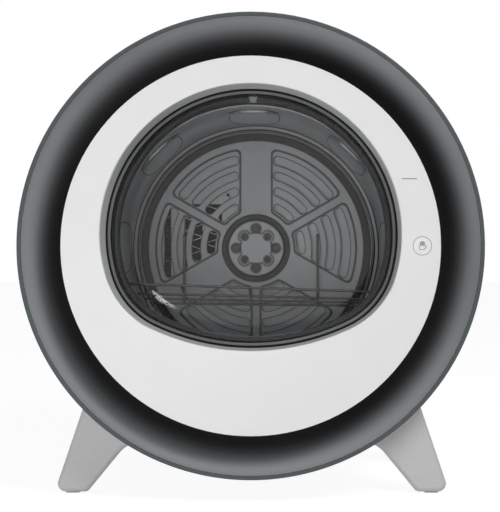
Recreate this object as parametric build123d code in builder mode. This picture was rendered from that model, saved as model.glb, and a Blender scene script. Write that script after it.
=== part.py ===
"""Compact round tumble dryer: a short drum on its side, closed by a round door with a window.

Millimetres. +Z is up, the door faces -Y, and +X is on the right of someone who faces the door.
The origin is at floor level, in the middle of the machine's width and depth.
"depth" always means the distance behind the front plane, and "height" the distance above the drum axis.
"""

from build123d import *
import math
import os

os.makedirs("parts", exist_ok=True)

# Whole machine
RING_R = 250.0
RING_CLEARANCE = 25.0
AXIS_HEIGHT = RING_R + RING_CLEARANCE
BODY_DEPTH = 352.0
HOSE_COLLAR_LENGTH = 38.0
AXIS_Z = AXIS_HEIGHT
FRONT_Y = -(BODY_DEPTH + HOSE_COLLAR_LENGTH) / 2
RUN_GAP = 0.3
SHAFT_FIT = 0.05
SHEET = 1.2
PLATE = 2.0
MOULDING = 2.4

# Front ring with its cove
RIM_WIDTH = 4.6
COVE_R = 40.4
TRIM_LIP = 2.0
TRIM_WALL = 2.2
TRIM_DEPTH = 14.0
TRIM_EDGE_R = 1.4
DOOR_OPENING_R = RING_R - RIM_WIDTH - COVE_R
DOOR_GAP = 2.2
DOOR_R = DOOR_OPENING_R - DOOR_GAP
BULKHEAD_DEPTH = 68.0

# Casing
CASING_INSET = 10.0
CASING_R = RING_R - CASING_INSET
CASING_FRONT = 27.0
CASING_SKIRT_LAP = 9.0
REAR_COVER = 2.0
CASING_END = BODY_DEPTH - REAR_COVER
CASING_INNER_R = CASING_R - SHEET

# Window outline, a D on its back: one top arc, two corner arcs and one bottom arc
WINDOW_TOP_MARGIN = 29.3
WINDOW_BOTTOM_MARGIN = 90.8
WINDOW_RISE = 12.5
WINDOW_CORNER_R = 90.0
WINDOW_BOTTOM_R = 250.0
WINDOW_TOP = DOOR_R - WINDOW_TOP_MARGIN
WINDOW_BOTTOM = WINDOW_BOTTOM_MARGIN - DOOR_R
WINDOW_TOP_R = WINDOW_TOP - WINDOW_RISE
WINDOW_BOTTOM_Z = WINDOW_BOTTOM + WINDOW_BOTTOM_R

# Door, from its face to the back of the glass bowl
COVER_THICK = 2.5
COVER_SKIRT = 6.0
COVER_EDGE_R = 1.5
WELL_WALL = 1.6
WELL_FLANGE = 6.0
WELL_END = 44.0
GASKET_THICK = 14.0
GASKET_WIDTH = 2.5
RETAINER_WIDTH = 3.0
RETAINER_THICK = 1.2
GLASS_THICK = 3.0
GLASS_RIM_OUT = 2.0
BOWL_INSET_FRONT = 10.0
BOWL_INSET_BACK = 15.0
BOWL_END = 92.0
BOWL_EDGE_R = 24.0
BOWL_CORNER_R = 120.0
FRAME_INSET = 6.8
FRAME_R = DOOR_R - FRAME_INSET
FRAME_WALL = 2.5
FRAME_OPENING_INSET = 5.0
GLASS_FRONT = WELL_END + GASKET_THICK
GLASS_BACK = GLASS_FRONT + GLASS_THICK
FRAME_BACK = GLASS_BACK + FRAME_WALL
DOOR_SCREW_INSET = 10.0
DOOR_SCREW_CIRCLE_R = FRAME_R - DOOR_SCREW_INSET
DOOR_SCREW_COUNT = 8
DOOR_BOSS_R = 4.5
SCREW_R = 1.75
SCREW_HEAD_R = 3.2
SCREW_HEAD_THICK = 1.6
SCREW_BITE = 12.0
LATCH_INSET = 13.0
LATCH_X = FRAME_R - LATCH_INSET
BADGE_R = 9.85
BADGE_THICK = 0.8

# Door hinge, a vertical pin inside the left edge of the door
HINGE_INSET = 6.0
HINGE_X = HINGE_INSET - FRAME_R
HINGE_DEPTH = 16.0
HINGE_PIN_R = 4.0
HINGE_KNUCKLE_R = 8.0
HINGE_KNUCKLE_HALF = 15.5
HINGE_EAR_GAP = 0.5
HINGE_EAR_THICK = 8.0
HINGE_EAR_HALF = 6.0
HINGE_PLATE = 2.5
HINGE_PLATE_HALF = 28.0
HINGE_POCKET_HALF = 32.0
HINGE_POCKET_REACH = 14.0
HINGE_LEAF_REACH = 22.0
HINGE_POCKET_RIGHT = HINGE_X + HINGE_POCKET_REACH
HINGE_LEAF_RIGHT = HINGE_X + HINGE_LEAF_REACH
HINGE_LEAF_THICK = 4.5

# Seal and bulkhead mouth
SEAL_OUT = 9.0
SEAL_IN = 3.0
SEAL_EDGE_R = 1.2
MOUTH_INSET = 10.0
MOUTH_COLLAR_END = 92.0
BULKHEAD_RIM_DEPTH = 14.0

# Drum
DRUM_INNER_R = WINDOW_TOP_R
DRUM_SHEET = 1.5
DRUM_FRONT = 95.0
DRUM_BACK = 300.0
DRUM_OUTER_R = DRUM_INNER_R + DRUM_SHEET
PAD_COUNT = 8
PAD_WIDTH = 68.0
PAD_LENGTH = 126.0
PAD_DEPTH_MID = 190.0
PAD_CORNER_R = 30.0
PAD_FACE_R = math.sqrt(DRUM_INNER_R**2 - (PAD_WIDTH / 2) ** 2)
FELT_THICK = 5.2
FELT_WIDTH = 9.0
FELT_CARRIER = 2.0

# Drum back, pressed sheet with six framed sectors of arc slots
BACK_SHEET = 2.0
BACK_CORNER = 3.5
BEAD_INSET = 7.5
BEAD_WIDTH = 2.0
BEAD_OUT_R = DRUM_INNER_R - BEAD_INSET
BEAD_IN_R = BEAD_OUT_R - BEAD_WIDTH
BEAD_HEIGHT = 1.2
GROOVE_INSET = 5.0
GROOVE_WIDTH = 1.6
GROOVE_OUT_R = DRUM_INNER_R - GROOVE_INSET
GROOVE_IN_R = GROOVE_OUT_R - GROOVE_WIDTH
GROOVE_SINK = 1.4
RECESS_INSET = 11.0
RECESS_WIDTH = 9.0
RECESS_OUT_R = DRUM_INNER_R - RECESS_INSET
RECESS_IN_R = RECESS_OUT_R - RECESS_WIDTH
RECESS_SINK = 2.5
PRESS_SLOPE = 1.0
HUB_RECESS_OUT_R = 44.4
HUB_RECESS_IN_R = 37.0
HUB_RECESS_SINK = 2.5
SLOT_CORNER_R = 4.4
SLOT_CORNER_SHARE = 0.45
FRAME_RIM_GAP = 9.1
FRAME_HUB_GAP = 5.4
FRAME_OUT_R = RECESS_IN_R - FRAME_RIM_GAP
FRAME_IN_R = HUB_RECESS_OUT_R + FRAME_HUB_GAP
FRAME_SPAN = FRAME_OUT_R - FRAME_IN_R
# Each slot's inner and outer edge as its share of the way across the frames
SLOT_SHARES = ((0.7576, 0.8977), (0.5262, 0.6541), (0.2862, 0.4153), (0.0524, 0.173))
SLOT_BANDS = [(FRAME_IN_R + low * FRAME_SPAN, FRAME_IN_R + high * FRAME_SPAN) for low, high in SLOT_SHARES]
FRAME_GROOVE = 1.5
FRAME_SINK = 0.6
FRAME_CORNER_R = 6.0
SLOT_MARGIN = 3.4
WIDE_SPOKE = 39.8
NARROW_SPOKE = 10.0
WIDE_SPOKE_ANGLES = (90.0, 210.0, 330.0)

# Hub plate
HUB_R = 36.4
HUB_THICK = 3.5
HUB_CENTRE_R = 20.3
HUB_CENTRE_RISE = 1.2
HUB_DIMPLE_CIRCLE_R = 25.7
HUB_DIMPLE_R = 7.3
HUB_DIMPLE_SINK = 2.0
HUB_SCREW_CIRCLE_R = 21.1
HUB_LOBE_R = 8.0
HUB_SCREW_HEAD_R = 4.6
HUB_SCREW_SOCKET_R = 2.4
HUB_SCREW_SUNK = 0.6
HUB_EDGE_R = 1.0
HUB_SOCKET_FLOOR = 0.4

# Drum shaft and bearing
SHAFT_R = 10.0
SHAFT_FLANGE_R = 32.0
SHAFT_FLANGE_THICK = 3.0
BEARING_OUTER_R = 19.0
BEARING_WIDTH = 14.0
HOUSING_WALL = 6.0
HOUSING_FLANGE_R = 38.0
HOUSING_FLANGE_THICK = 3.0
HOUSING_BACK_LIP = 2.0
SHAFT_HOLE_GAP = 4.0
SHAFT_SHORT = 0.5

# Rear bulkhead
REAR_BULKHEAD = 306.0
REAR_FELT_INSET = 3.0
REAR_FELT_WIDTH = 6.0
REAR_FELT_OUT_R = DRUM_INNER_R - REAR_FELT_INSET
REAR_FELT_IN_R = REAR_FELT_OUT_R - REAR_FELT_WIDTH
INLET_RIM_GAP = 66.0
SIDE_SLOT_RIM_GAP = 40.0
SIDE_SLOT_WIDTH = 9.0
INLET_X = (INLET_RIM_GAP - DRUM_INNER_R, -45.0)
INLET_Z = (-40.0, 58.0)
SIDE_SLOT_X = (SIDE_SLOT_RIM_GAP - DRUM_INNER_R, SIDE_SLOT_RIM_GAP + SIDE_SLOT_WIDTH - DRUM_INNER_R)
SIDE_SLOT_Z = (-45.0, 53.0)
SENSOR_HOLE_X = -37.0
SENSOR_HOLE_Z = 70.0
SENSOR_HOLE_R = 2.2

# Heater in its duct
HEATER_DUCT_OUT = 6.0
HEATER_DUCT_IN = 5.0
HEATER_DUCT_X = (SIDE_SLOT_X[0] - HEATER_DUCT_OUT, INLET_X[1] + HEATER_DUCT_IN)
HEATER_DUCT_Z = (-51.0, 64.0)
HEATER_DUCT_WALL = 1.5
HEATER_DEPTH = 323.0
HEATER_THICK = 14.0
HEATER_FOLDS = 12
HEATER_FOIL = 1.0
HEATER_BAR = 3.0
HEATER_LAP = 0.6
FILTER_GAP = 0.4
FILTER_THICK = 7.0
FILTER_FRAME = 5.0
FILTER_SLATS = 9
FILTER_SLAT = 3.0
FILTER_TAB = 4.0
FILTER_MAT = 1.5

# Motor, belt and idler
MOTOR_ANGLE = -50.0
MOTOR_R = 31.0
MOTOR_CASING_GAP = 5.8
MOTOR_CIRCLE_R = CASING_INNER_R - MOTOR_R - MOTOR_CASING_GAP
MOTOR_FRONT = 200.0
MOTOR_END = 270.0
MOTOR_SHAFT_R = 4.0
MOTOR_SHAFT_GAP = 2.0
MOTOR_EDGE_R = 4.0
MOTOR_CAP = 6.0
ROTOR_END_GAP = 0.5
MOTOR_POST_R = 4.0
MOTOR_POST_CIRCLE_R = 24.0
MOTOR_POST_ANGLES = (130.0, 5.0, -105.0)
PULLEY_FRONT = 273.0
PULLEY_END = 289.0
PULLEY_GROOVE_R = 7.7
PULLEY_FLANGE_R = 11.0
BELT_SIDE_GAP = 1.0
BELT_FRONT = 277.0
BELT_WIDTH = 8.0
BELT_THICK = 2.0
IDLER_R = 12.0
IDLER_RUN = 55.0
IDLER_AXLE_R = 3.0
IDLER_WIDTH = 10.0
IDLER_ARM_REACH = 40.0
IDLER_ARM_OUT = 12.0
IDLER_ARM_THICK = 3.0
IDLER_ARM_R = 7.0
IDLER_ARM_GAP = 1.0
IDLER_POST_R = 4.0
IDLER_SPRING_R = 6.5
IDLER_SPRING_LENGTH = 14.0

# Air path
DUCT_HALF = 62.0
DUCT_DRUM_GAP = 9.5
DUCT_TOP = -(DRUM_OUTER_R + DUCT_DRUM_GAP)
DUCT_WALL = 1.5
LINT_HALF = 56.0
LINT_FRONT = 76.0
LINT_THICK = 12.0
LINT_DROP = 48.0
LINT_RISE = 32.0
LINT_OPENING_RISE = 1.0
LINT_BOTTOM = WINDOW_BOTTOM - LINT_DROP
LINT_TOP = WINDOW_BOTTOM + LINT_RISE
LINT_OPENING_TOP = WINDOW_BOTTOM + LINT_OPENING_RISE
LINT_FRAME = 4.0
LINT_BARS = 6
LINT_BAR = 1.6
FAN_R = 31.5
FAN_FRONT = 334.5
FAN_WIDTH = 12.0
FAN_BLADES = 20
FAN_HUB_R = 8.0
FAN_EYE_R = 18.0
FAN_PLATE = 1.5
FAN_BLADE_THICK = 1.4
FAN_BLADE_TURN = 35.0
HOOD_END = 331.0
HOOD_R = 26.0
HOOD_DUCT_R = 22.0
SCROLL_R = 34.0
HOSE_X = 60.0
HOSE_Z = -80.0
HOSE_R = 50.0
HOSE_WALL = 2.0
HOSE_FLANGE_R = 58.0
HOSE_FLANGE_THICK = 2.5
SCROLL_HOSE_R = HOSE_R + 2.0

# Rear cover
COVER_SPIGOT = 12.0
COVER_SPIGOT_WALL = 2.0
LOUVRE_COUNT = 7
LOUVRE_LENGTH = 110.0
LOUVRE_WIDTH = 4.0
LOUVRE_PITCH = 11.0
LOUVRE_TOP = 200.0
COVER_SCREW_COUNT = 8
COVER_SCREW_INSET = 6.0
GLAND_X = -110.0
GLAND_Z = -150.0
GLAND_R = 8.0
GLAND_BORE_R = 4.0
GLAND_FLANGE = 3.0
GLAND_IN = 3.0
GLAND_OUT = 4.0

# Controls in a flat on top
PANEL_HALF = 75.0
PANEL_FRONT = 150.0
PANEL_BACK = 260.0
PANEL_GAP = 0.4
PANEL_THICK = 2.5
PANEL_END_WALL = 2.4
PANEL_TOP = math.sqrt(CASING_R**2 - PANEL_HALF**2)
CONTROL_DEPTH = (PANEL_FRONT + PANEL_BACK) / 2
KNOB_X = -35.0
KNOB_R = 17.0
KNOB_HEIGHT = 13.0
KNOB_SHAFT_R = 3.5
TIMER_SIZE = 42.0
TIMER_HEIGHT = 20.0
TIMER_CORNER_R = 3.0
TIMER_FLOOR = 4.0
KNOB_TAPER = 4.0
KNOB_EDGE_R = 1.5
KNOB_END_GAP = 1.0
BUTTON_X = 35.0
BUTTON_R = 8.0
BUTTON_STAND = 2.5
BUTTON_TRAVEL = 2.0
BUTTON_FLANGE = 2.0
BUTTON_FLANGE_OUT = 2.0
BUTTON_EDGE_R = 1.0
BOARD_THICK = 1.6
BOARD_WIDTH = 60.0
BOARD_LENGTH = 79.0
BOARD_POST_INSET = 4.0
BOARD_POST_R = 3.0

# Latch
LATCH_PLUNGER_R = 4.0
LATCH_PLUNGER_Z = -6.0
LATCH_TRAVEL = 5.0
LATCH_HOOK_Z = 10.0
LATCH_HOOK_HALF = 4.0
LATCH_HOOK_THICK = 4.0
LATCH_HOOK_END = 77.0
LATCH_BARB = 1.5
LATCH_BARB_LENGTH = 4.0
LATCH_SLOT_WIDTH = 14.0
LATCH_SLOT_HEIGHT = 11.0
CATCH_FRONT = 70.0
CATCH_END = 92.0
CATCH_HALF_X = 13.0
CATCH_BOTTOM = -16.0
CATCH_TOP = 19.0
CATCH_FLOOR = 3.0
CATCH_SLACK = 2.0
SWITCH_Z = -34.0
SWITCH_WIDTH = 16.0
SWITCH_HEIGHT = 28.0
SWITCH_DEPTH = 16.0
SWITCH_CORNER_R = 2.0

# Drum lamp over the mouth
LAMP_X = 1.1
LAMP_TOP_HALF = 5.4
LAMP_BOTTOM_HALF = 3.2
LAMP_INSET = 5.1
LAMP_HEIGHT = 5.8
LAMP_TOP = WINDOW_TOP - LAMP_INSET
LAMP_BOTTOM = LAMP_TOP - LAMP_HEIGHT
LAMP_FRONT = 70.0
LAMP_END = 80.0

# Shoe rack of bent wire inside the drum
RACK_WIRE_R = 1.5
RACK_WELD = 0.1
RACK_FRONT_DEPTH = 110.0
RACK_FRONT_GAP = 5.87
RACK_FRONT_Z = -47.4
RACK_ROLL = -0.0324
RACK_BARS = ((165.0, -59.0, -0.024, 10.8), (225.0, -66.0, -0.016, 10.85), (280.0, -73.0, -0.012, 12.5))
RACK_RUNNER_X = (-83.0, -4.0, 76.0)
RACK_POST_TOP = 17.0
RACK_SLOT_GAP = RACK_WIRE_R + RACK_WELD + RUN_GAP
RACK_LEFT_POST_X = -math.sqrt((SLOT_BANDS[1][0] + RACK_SLOT_GAP) ** 2 - RACK_POST_TOP**2)
RACK_RIGHT_POST_X = math.sqrt((SLOT_BANDS[2][1] - RACK_SLOT_GAP) ** 2 - RACK_POST_TOP**2)
RACK_POST_GAP = 10.0
RACK_POST_DEPTH = DRUM_BACK - RACK_POST_GAP
RACK_HOOK = 13.0

# Legs
LEG_FRONT_DEPTH = 70.0
LEG_REAR_DEPTH = 284.0
LEG_WIDTH = 32.0
LEG_TOP_ANGLE = -40.04
LEG_TOP_LAP = 7.5
LEG_KNEE_ANGLE = -57.29
LEG_KNEE_OUT = 33.5
LEG_TOE_ANGLE = -62.91
LEG_TOE_OUT = 6.0
LEG_SPLAY = 41.8
LEG_FOOT_WIDTH = 36.8
LEG_FOOT_R = 9.0
LEG_FOOT_IN_R = 7.0
LEG_EDGE_R = 6.0
LEG_GAP = 0.15
PAD_RUBBER = 2.0
PAD_RUBBER_X = 16.0
PAD_RUBBER_Y = 14.0
PAD_RUBBER_CORNER_R = 4.0
LEG_SCREW_ANGLE = -51.0
LEG_SCREW_SHIFT = -9.0
LEG_SADDLE_LAP = 5.0

SECTION = Plane(origin=(0, FRONT_Y, AXIS_Z), x_dir=(0, 1, 0), z_dir=(1, 0, 0))
DRUM_AXIS = Axis((0, 0, AXIS_Z), (0, 1, 0))


def face_plane(depth):
    """Plane at a depth behind the front, seen from the front: x to the right, y up from the drum axis."""
    return Plane(origin=(0, FRONT_Y + depth, AXIS_Z), x_dir=(1, 0, 0), z_dir=(0, -1, 0))


def level_plane(height):
    """Level plane at a height above the drum axis, with x to the right and y into the machine."""
    return Plane(origin=(0, FRONT_Y, AXIS_Z + height), x_dir=(1, 0, 0), z_dir=(0, 0, 1))


def place(x, depth, height):
    """Point in the machine's frame from a side distance, a depth and a height."""
    return Vector(x, FRONT_Y + depth, AXIS_Z + height)


def on_circle(radius, angle):
    """Point on a circle about the drum axis, angle in degrees from +X towards up."""
    return radius * math.cos(math.radians(angle)), radius * math.sin(math.radians(angle))


def window_face(inset, corner_r=WINDOW_CORNER_R):
    """The window's D as a flat face about the drum axis, drawn in by inset all round."""
    to_top = WINDOW_TOP_R - corner_r
    to_bottom = WINDOW_BOTTOM_R - corner_r
    span = WINDOW_BOTTOM_Z - WINDOW_RISE
    below_top = (to_bottom**2 - to_top**2 - span**2) / (2 * span)
    corner_z = WINDOW_RISE - below_top
    corner_x = math.sqrt(to_top**2 - below_top**2)
    top_end = -math.degrees(math.asin(below_top / to_top))
    bottom_end = -math.degrees(math.asin((WINDOW_BOTTOM_Z - corner_z) / to_bottom))
    with BuildSketch() as outline:
        with BuildLine():
            CenterArc((0, WINDOW_RISE), WINDOW_TOP_R - inset, top_end, 180 - 2 * top_end)
            for centre_x, start in ((corner_x, bottom_end), (-corner_x, 180 - top_end)):
                CenterArc((centre_x, corner_z), corner_r - inset, start, top_end - bottom_end)
            CenterArc((0, WINDOW_BOTTOM_Z), WINDOW_BOTTOM_R - inset, -180 - bottom_end, 180 + 2 * bottom_end)
        make_face()
    return outline.sketch


def two_circle_hull(radius_a, radius_b, centre_b):
    """Belt-shaped face round a circle on the drum axis and a circle at centre_b."""
    with BuildSketch() as hull:
        Circle(radius_a)
        with Locations(centre_b):
            Circle(radius_b)
        make_hull()
    return hull.sketch


def sector_face(wide_angle, side, margin, corner_r=0):
    """One sector of the drum back between a wide and a narrow spoke, drawn in by margin."""
    narrow_angle = wide_angle + side * 60
    wide_offset = WIDE_SPOKE / 2 + margin
    narrow_offset = NARROW_SPOKE / 2 + margin
    wide_dir = Vector(*on_circle(1, wide_angle))
    narrow_dir = Vector(*on_circle(1, narrow_angle))
    wide_in = Vector(-wide_dir.Y, wide_dir.X) * side
    narrow_in = Vector(narrow_dir.Y, -narrow_dir.X) * side
    along = (narrow_offset - (wide_in * wide_offset).dot(narrow_in)) / wide_dir.dot(narrow_in)
    apex = wide_in * wide_offset + wide_dir * along
    reach = 3 * FRAME_OUT_R
    far_wide = apex + wide_dir * reach
    far_narrow = apex + narrow_dir * reach
    with BuildSketch() as sector:
        with BuildLine():
            Polyline((apex.X, apex.Y), (far_wide.X, far_wide.Y), (far_narrow.X, far_narrow.Y), close=True)
        make_face()
        Circle(FRAME_OUT_R - margin, mode=Mode.INTERSECT)
        Circle(FRAME_IN_R + margin, mode=Mode.SUBTRACT)
        if corner_r:
            fillet(sector.vertices(), corner_r)
    return sector.sketch


def slot_face(wide_angle, side, band):
    """One arc slot of a sector, between the two radii of its band."""
    with BuildSketch() as slot:
        add(sector_face(wide_angle, side, SLOT_MARGIN))
        Circle(band[1], mode=Mode.INTERSECT)
        Circle(band[0], mode=Mode.SUBTRACT)
        fillet(slot.vertices(), min(SLOT_CORNER_R, SLOT_CORNER_SHARE * (band[1] - band[0])))
    return slot.sketch


def is_leg_rim(edge, leg_start):
    """Whether an edge lies on a leg's front or back face, clear of its saddle."""
    middle = edge.position_at(0.5)
    box = edge.bounding_box()
    sides = (FRONT_Y + leg_start, FRONT_Y + leg_start + LEG_WIDTH)
    on_side = any(abs(box.min.Y - side) < 0.01 and abs(box.max.Y - side) < 0.01 for side in sides)
    off_saddle = math.hypot(middle.X, middle.Z - AXIS_Z) > CASING_R + 2 * LEG_GAP
    return on_side and off_saddle


def save(builder, name):
    """Labels a finished piece and writes it to its own file."""
    builder.part.label = name
    export_step(builder.part, f"parts/{name}.step")


# Slate trim on the rim of the front ring
with BuildPart() as rim_trim:
    with BuildSketch(SECTION):
        with BuildLine():
            Polyline(
                (0, RING_R - RIM_WIDTH),
                (0, RING_R),
                (TRIM_DEPTH, RING_R),
                (TRIM_DEPTH, RING_R - TRIM_WALL),
                (TRIM_LIP, RING_R - TRIM_WALL),
                (TRIM_LIP, RING_R - RIM_WIDTH),
                close=True,
            )
        make_face()
    revolve(axis=DRUM_AXIS)
    front_edges = rim_trim.edges().filter_by(GeomType.CIRCLE).group_by(Axis.Y)[0]
    fillet(front_edges.sort_by(SortBy.RADIUS)[-1], TRIM_EDGE_R)
save(rim_trim, "rim_trim")

# Front ring: a cove from the rim down to the door edge, then a collar back to the bulkhead
COVE_OUTER_R = COVE_R + MOULDING
BEZEL_SKIRT_R = CASING_R + SHAFT_FIT
with BuildPart() as front_bezel:
    with BuildSketch(SECTION):
        lip_angle = math.degrees(math.acos(TRIM_LIP / COVE_R))
        shoulder_angle = math.degrees(math.acos(CASING_FRONT / COVE_OUTER_R))
        collar_angle = math.degrees(math.asin(MOULDING / COVE_OUTER_R))
        lip_r = DOOR_OPENING_R + math.sqrt(COVE_R**2 - TRIM_LIP**2)
        shoulder_r = DOOR_OPENING_R + math.sqrt(COVE_OUTER_R**2 - CASING_FRONT**2)
        collar_start = math.sqrt(COVE_OUTER_R**2 - MOULDING**2)
        with BuildLine():
            CenterArc((0, DOOR_OPENING_R), COVE_R, 0, lip_angle)
            Polyline(
                (COVE_R, DOOR_OPENING_R),
                (BULKHEAD_DEPTH, DOOR_OPENING_R),
                (BULKHEAD_DEPTH, DOOR_OPENING_R + MOULDING),
                (collar_start, DOOR_OPENING_R + MOULDING),
            )
            CenterArc((0, DOOR_OPENING_R), COVE_OUTER_R, collar_angle, shoulder_angle - collar_angle)
            Polyline(
                (CASING_FRONT, shoulder_r),
                (CASING_FRONT, BEZEL_SKIRT_R),
                (CASING_FRONT + CASING_SKIRT_LAP, BEZEL_SKIRT_R),
                (CASING_FRONT + CASING_SKIRT_LAP, BEZEL_SKIRT_R + MOULDING),
                (TRIM_DEPTH, RING_R - TRIM_WALL),
                (TRIM_LIP, RING_R - TRIM_WALL),
                (TRIM_LIP, lip_r),
            )
        make_face()
    revolve(axis=DRUM_AXIS)
save(front_bezel, "front_bezel")

# Rolled steel casing with a cut-out for the controls and holes for its screws
with BuildPart() as casing_shell:
    with BuildSketch(face_plane(CASING_FRONT)):
        Circle(CASING_R)
        Circle(CASING_INNER_R, mode=Mode.SUBTRACT)
    extrude(amount=-(CASING_END - CASING_FRONT))
    with BuildSketch(level_plane(PANEL_TOP - 2 * PANEL_THICK)):
        with Locations((0, CONTROL_DEPTH)):
            Rectangle(2 * PANEL_HALF, PANEL_BACK - PANEL_FRONT)
    extrude(amount=RING_R - PANEL_TOP, mode=Mode.SUBTRACT)
    for index in range(COVER_SCREW_COUNT):
        turn = (index + 0.5) * 360 / COVER_SCREW_COUNT
        screw_x, screw_z = on_circle(CASING_R - 2 * SHEET, turn)
        screw_start = place(screw_x, CASING_END - COVER_SCREW_INSET, screw_z)
        with BuildSketch(Plane(origin=screw_start, z_dir=Vector(screw_x, 0, screw_z))):
            Circle(SCREW_R + SHAFT_FIT)
        extrude(amount=4 * SHEET, mode=Mode.SUBTRACT)
    for leg_depth in (LEG_FRONT_DEPTH, LEG_REAR_DEPTH):
        for turn in (LEG_SCREW_ANGLE, 180 - LEG_SCREW_ANGLE):
            screw_x, screw_z = on_circle(CASING_R - 2 * SHEET, turn)
            screw_start = place(screw_x, leg_depth + LEG_SCREW_SHIFT, screw_z)
            with BuildSketch(Plane(origin=screw_start, z_dir=Vector(screw_x, 0, screw_z))):
                Circle(SCREW_R + SHAFT_FIT)
            extrude(amount=4 * SHEET, mode=Mode.SUBTRACT)
save(casing_shell, "casing_shell")

# Front bulkhead: plate, D mouth with its collar, rim flange and the carrier of the front felt
FELT_OUTER_R = DRUM_OUTER_R + RUN_GAP + FELT_THICK
BULKHEAD_R = CASING_INNER_R - RUN_GAP
BULKHEAD_BACK = BULKHEAD_DEPTH + PLATE
DUCT_R = BULKHEAD_R - PLATE - RUN_GAP
CARRIER_END = DRUM_FRONT + FELT_WIDTH
with BuildPart() as front_bulkhead:
    with BuildSketch(face_plane(BULKHEAD_DEPTH)):
        Circle(BULKHEAD_R)
    extrude(amount=-PLATE)
    with BuildSketch(face_plane(BULKHEAD_BACK)):
        Circle(BULKHEAD_R)
        Circle(BULKHEAD_R - PLATE, mode=Mode.SUBTRACT)
    extrude(amount=-BULKHEAD_RIM_DEPTH)
    with BuildSketch(face_plane(BULKHEAD_BACK)):
        Circle(FELT_OUTER_R + FELT_CARRIER)
        Circle(FELT_OUTER_R, mode=Mode.SUBTRACT)
    extrude(amount=-(CARRIER_END - BULKHEAD_BACK))
    with BuildSketch(face_plane(BULKHEAD_BACK)):
        add(window_face(MOUTH_INSET - PLATE))
    extrude(amount=-(MOUTH_COLLAR_END - BULKHEAD_BACK))
    with BuildSketch(face_plane(BULKHEAD_DEPTH)):
        add(window_face(MOUTH_INSET))
    extrude(amount=-(MOUTH_COLLAR_END - BULKHEAD_DEPTH), mode=Mode.SUBTRACT)
    # Slot in the floor of the mouth for the lint filter, and the way down to the duct
    with BuildSketch(face_plane(LINT_FRONT - FILTER_GAP)):
        with Locations((0, (LINT_BOTTOM + LINT_TOP) / 2)):
            Rectangle(2 * (LINT_HALF + FILTER_GAP), LINT_TOP - LINT_BOTTOM)
    extrude(amount=-(LINT_THICK + 2 * FILTER_GAP), mode=Mode.SUBTRACT)
    with BuildSketch(face_plane(BULKHEAD_BACK)):
        with Locations((0, -FELT_OUTER_R)):
            Rectangle(2 * (DUCT_HALF + RUN_GAP), DUCT_HALF)
    extrude(amount=-(MOUTH_COLLAR_END + RUN_GAP - BULKHEAD_BACK), mode=Mode.SUBTRACT)
    # Holes for the latch plunger, the latch hook and the lamp
    with BuildSketch(face_plane(BULKHEAD_DEPTH)):
        with Locations((LATCH_X, LATCH_PLUNGER_Z)):
            Circle(LATCH_PLUNGER_R + RUN_GAP)
        with Locations((LATCH_X, LATCH_HOOK_Z)):
            Rectangle(LATCH_SLOT_WIDTH, LATCH_SLOT_HEIGHT)
        with BuildLine():
            Polyline(
                (LAMP_X - LAMP_TOP_HALF, LAMP_TOP),
                (LAMP_X + LAMP_TOP_HALF, LAMP_TOP),
                (LAMP_X + LAMP_BOTTOM_HALF, LAMP_BOTTOM),
                (LAMP_X - LAMP_BOTTOM_HALF, LAMP_BOTTOM),
                close=True,
            )
        make_face()
    extrude(amount=-(LAMP_END - BULKHEAD_DEPTH), mode=Mode.SUBTRACT)
save(front_bulkhead, "front_bulkhead")

# Rubber seal that the closed door meets
SEAL_FRONT = FRAME_BACK + RUN_GAP
with BuildPart() as door_seal:
    with BuildSketch(face_plane(SEAL_FRONT)):
        add(window_face(-SEAL_OUT))
        add(window_face(SEAL_IN), mode=Mode.SUBTRACT)
    extrude(amount=-(BULKHEAD_DEPTH - SEAL_FRONT))
    seal_front = door_seal.faces().sort_by(Axis.Y)[0]
    fillet(seal_front.edges(), SEAL_EDGE_R)
save(door_seal, "door_seal")

# Felt that carries the drum's front edge
with BuildPart() as front_felt_ring:
    with BuildSketch(face_plane(DRUM_FRONT)):
        Circle(FELT_OUTER_R)
        Circle(DRUM_OUTER_R + RUN_GAP, mode=Mode.SUBTRACT)
    extrude(amount=-FELT_WIDTH)
save(front_felt_ring, "front_felt_ring")

# Lamp lens over the mouth
with BuildPart() as drum_lamp:
    with BuildSketch(face_plane(LAMP_FRONT)):
        with BuildLine():
            Polyline(
                (LAMP_X - LAMP_TOP_HALF, LAMP_TOP),
                (LAMP_X + LAMP_TOP_HALF, LAMP_TOP),
                (LAMP_X + LAMP_BOTTOM_HALF, LAMP_BOTTOM),
                (LAMP_X - LAMP_BOTTOM_HALF, LAMP_BOTTOM),
                close=True,
            )
        make_face()
    extrude(amount=-(LAMP_END - LAMP_FRONT))
save(drum_lamp, "drum_lamp")

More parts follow.
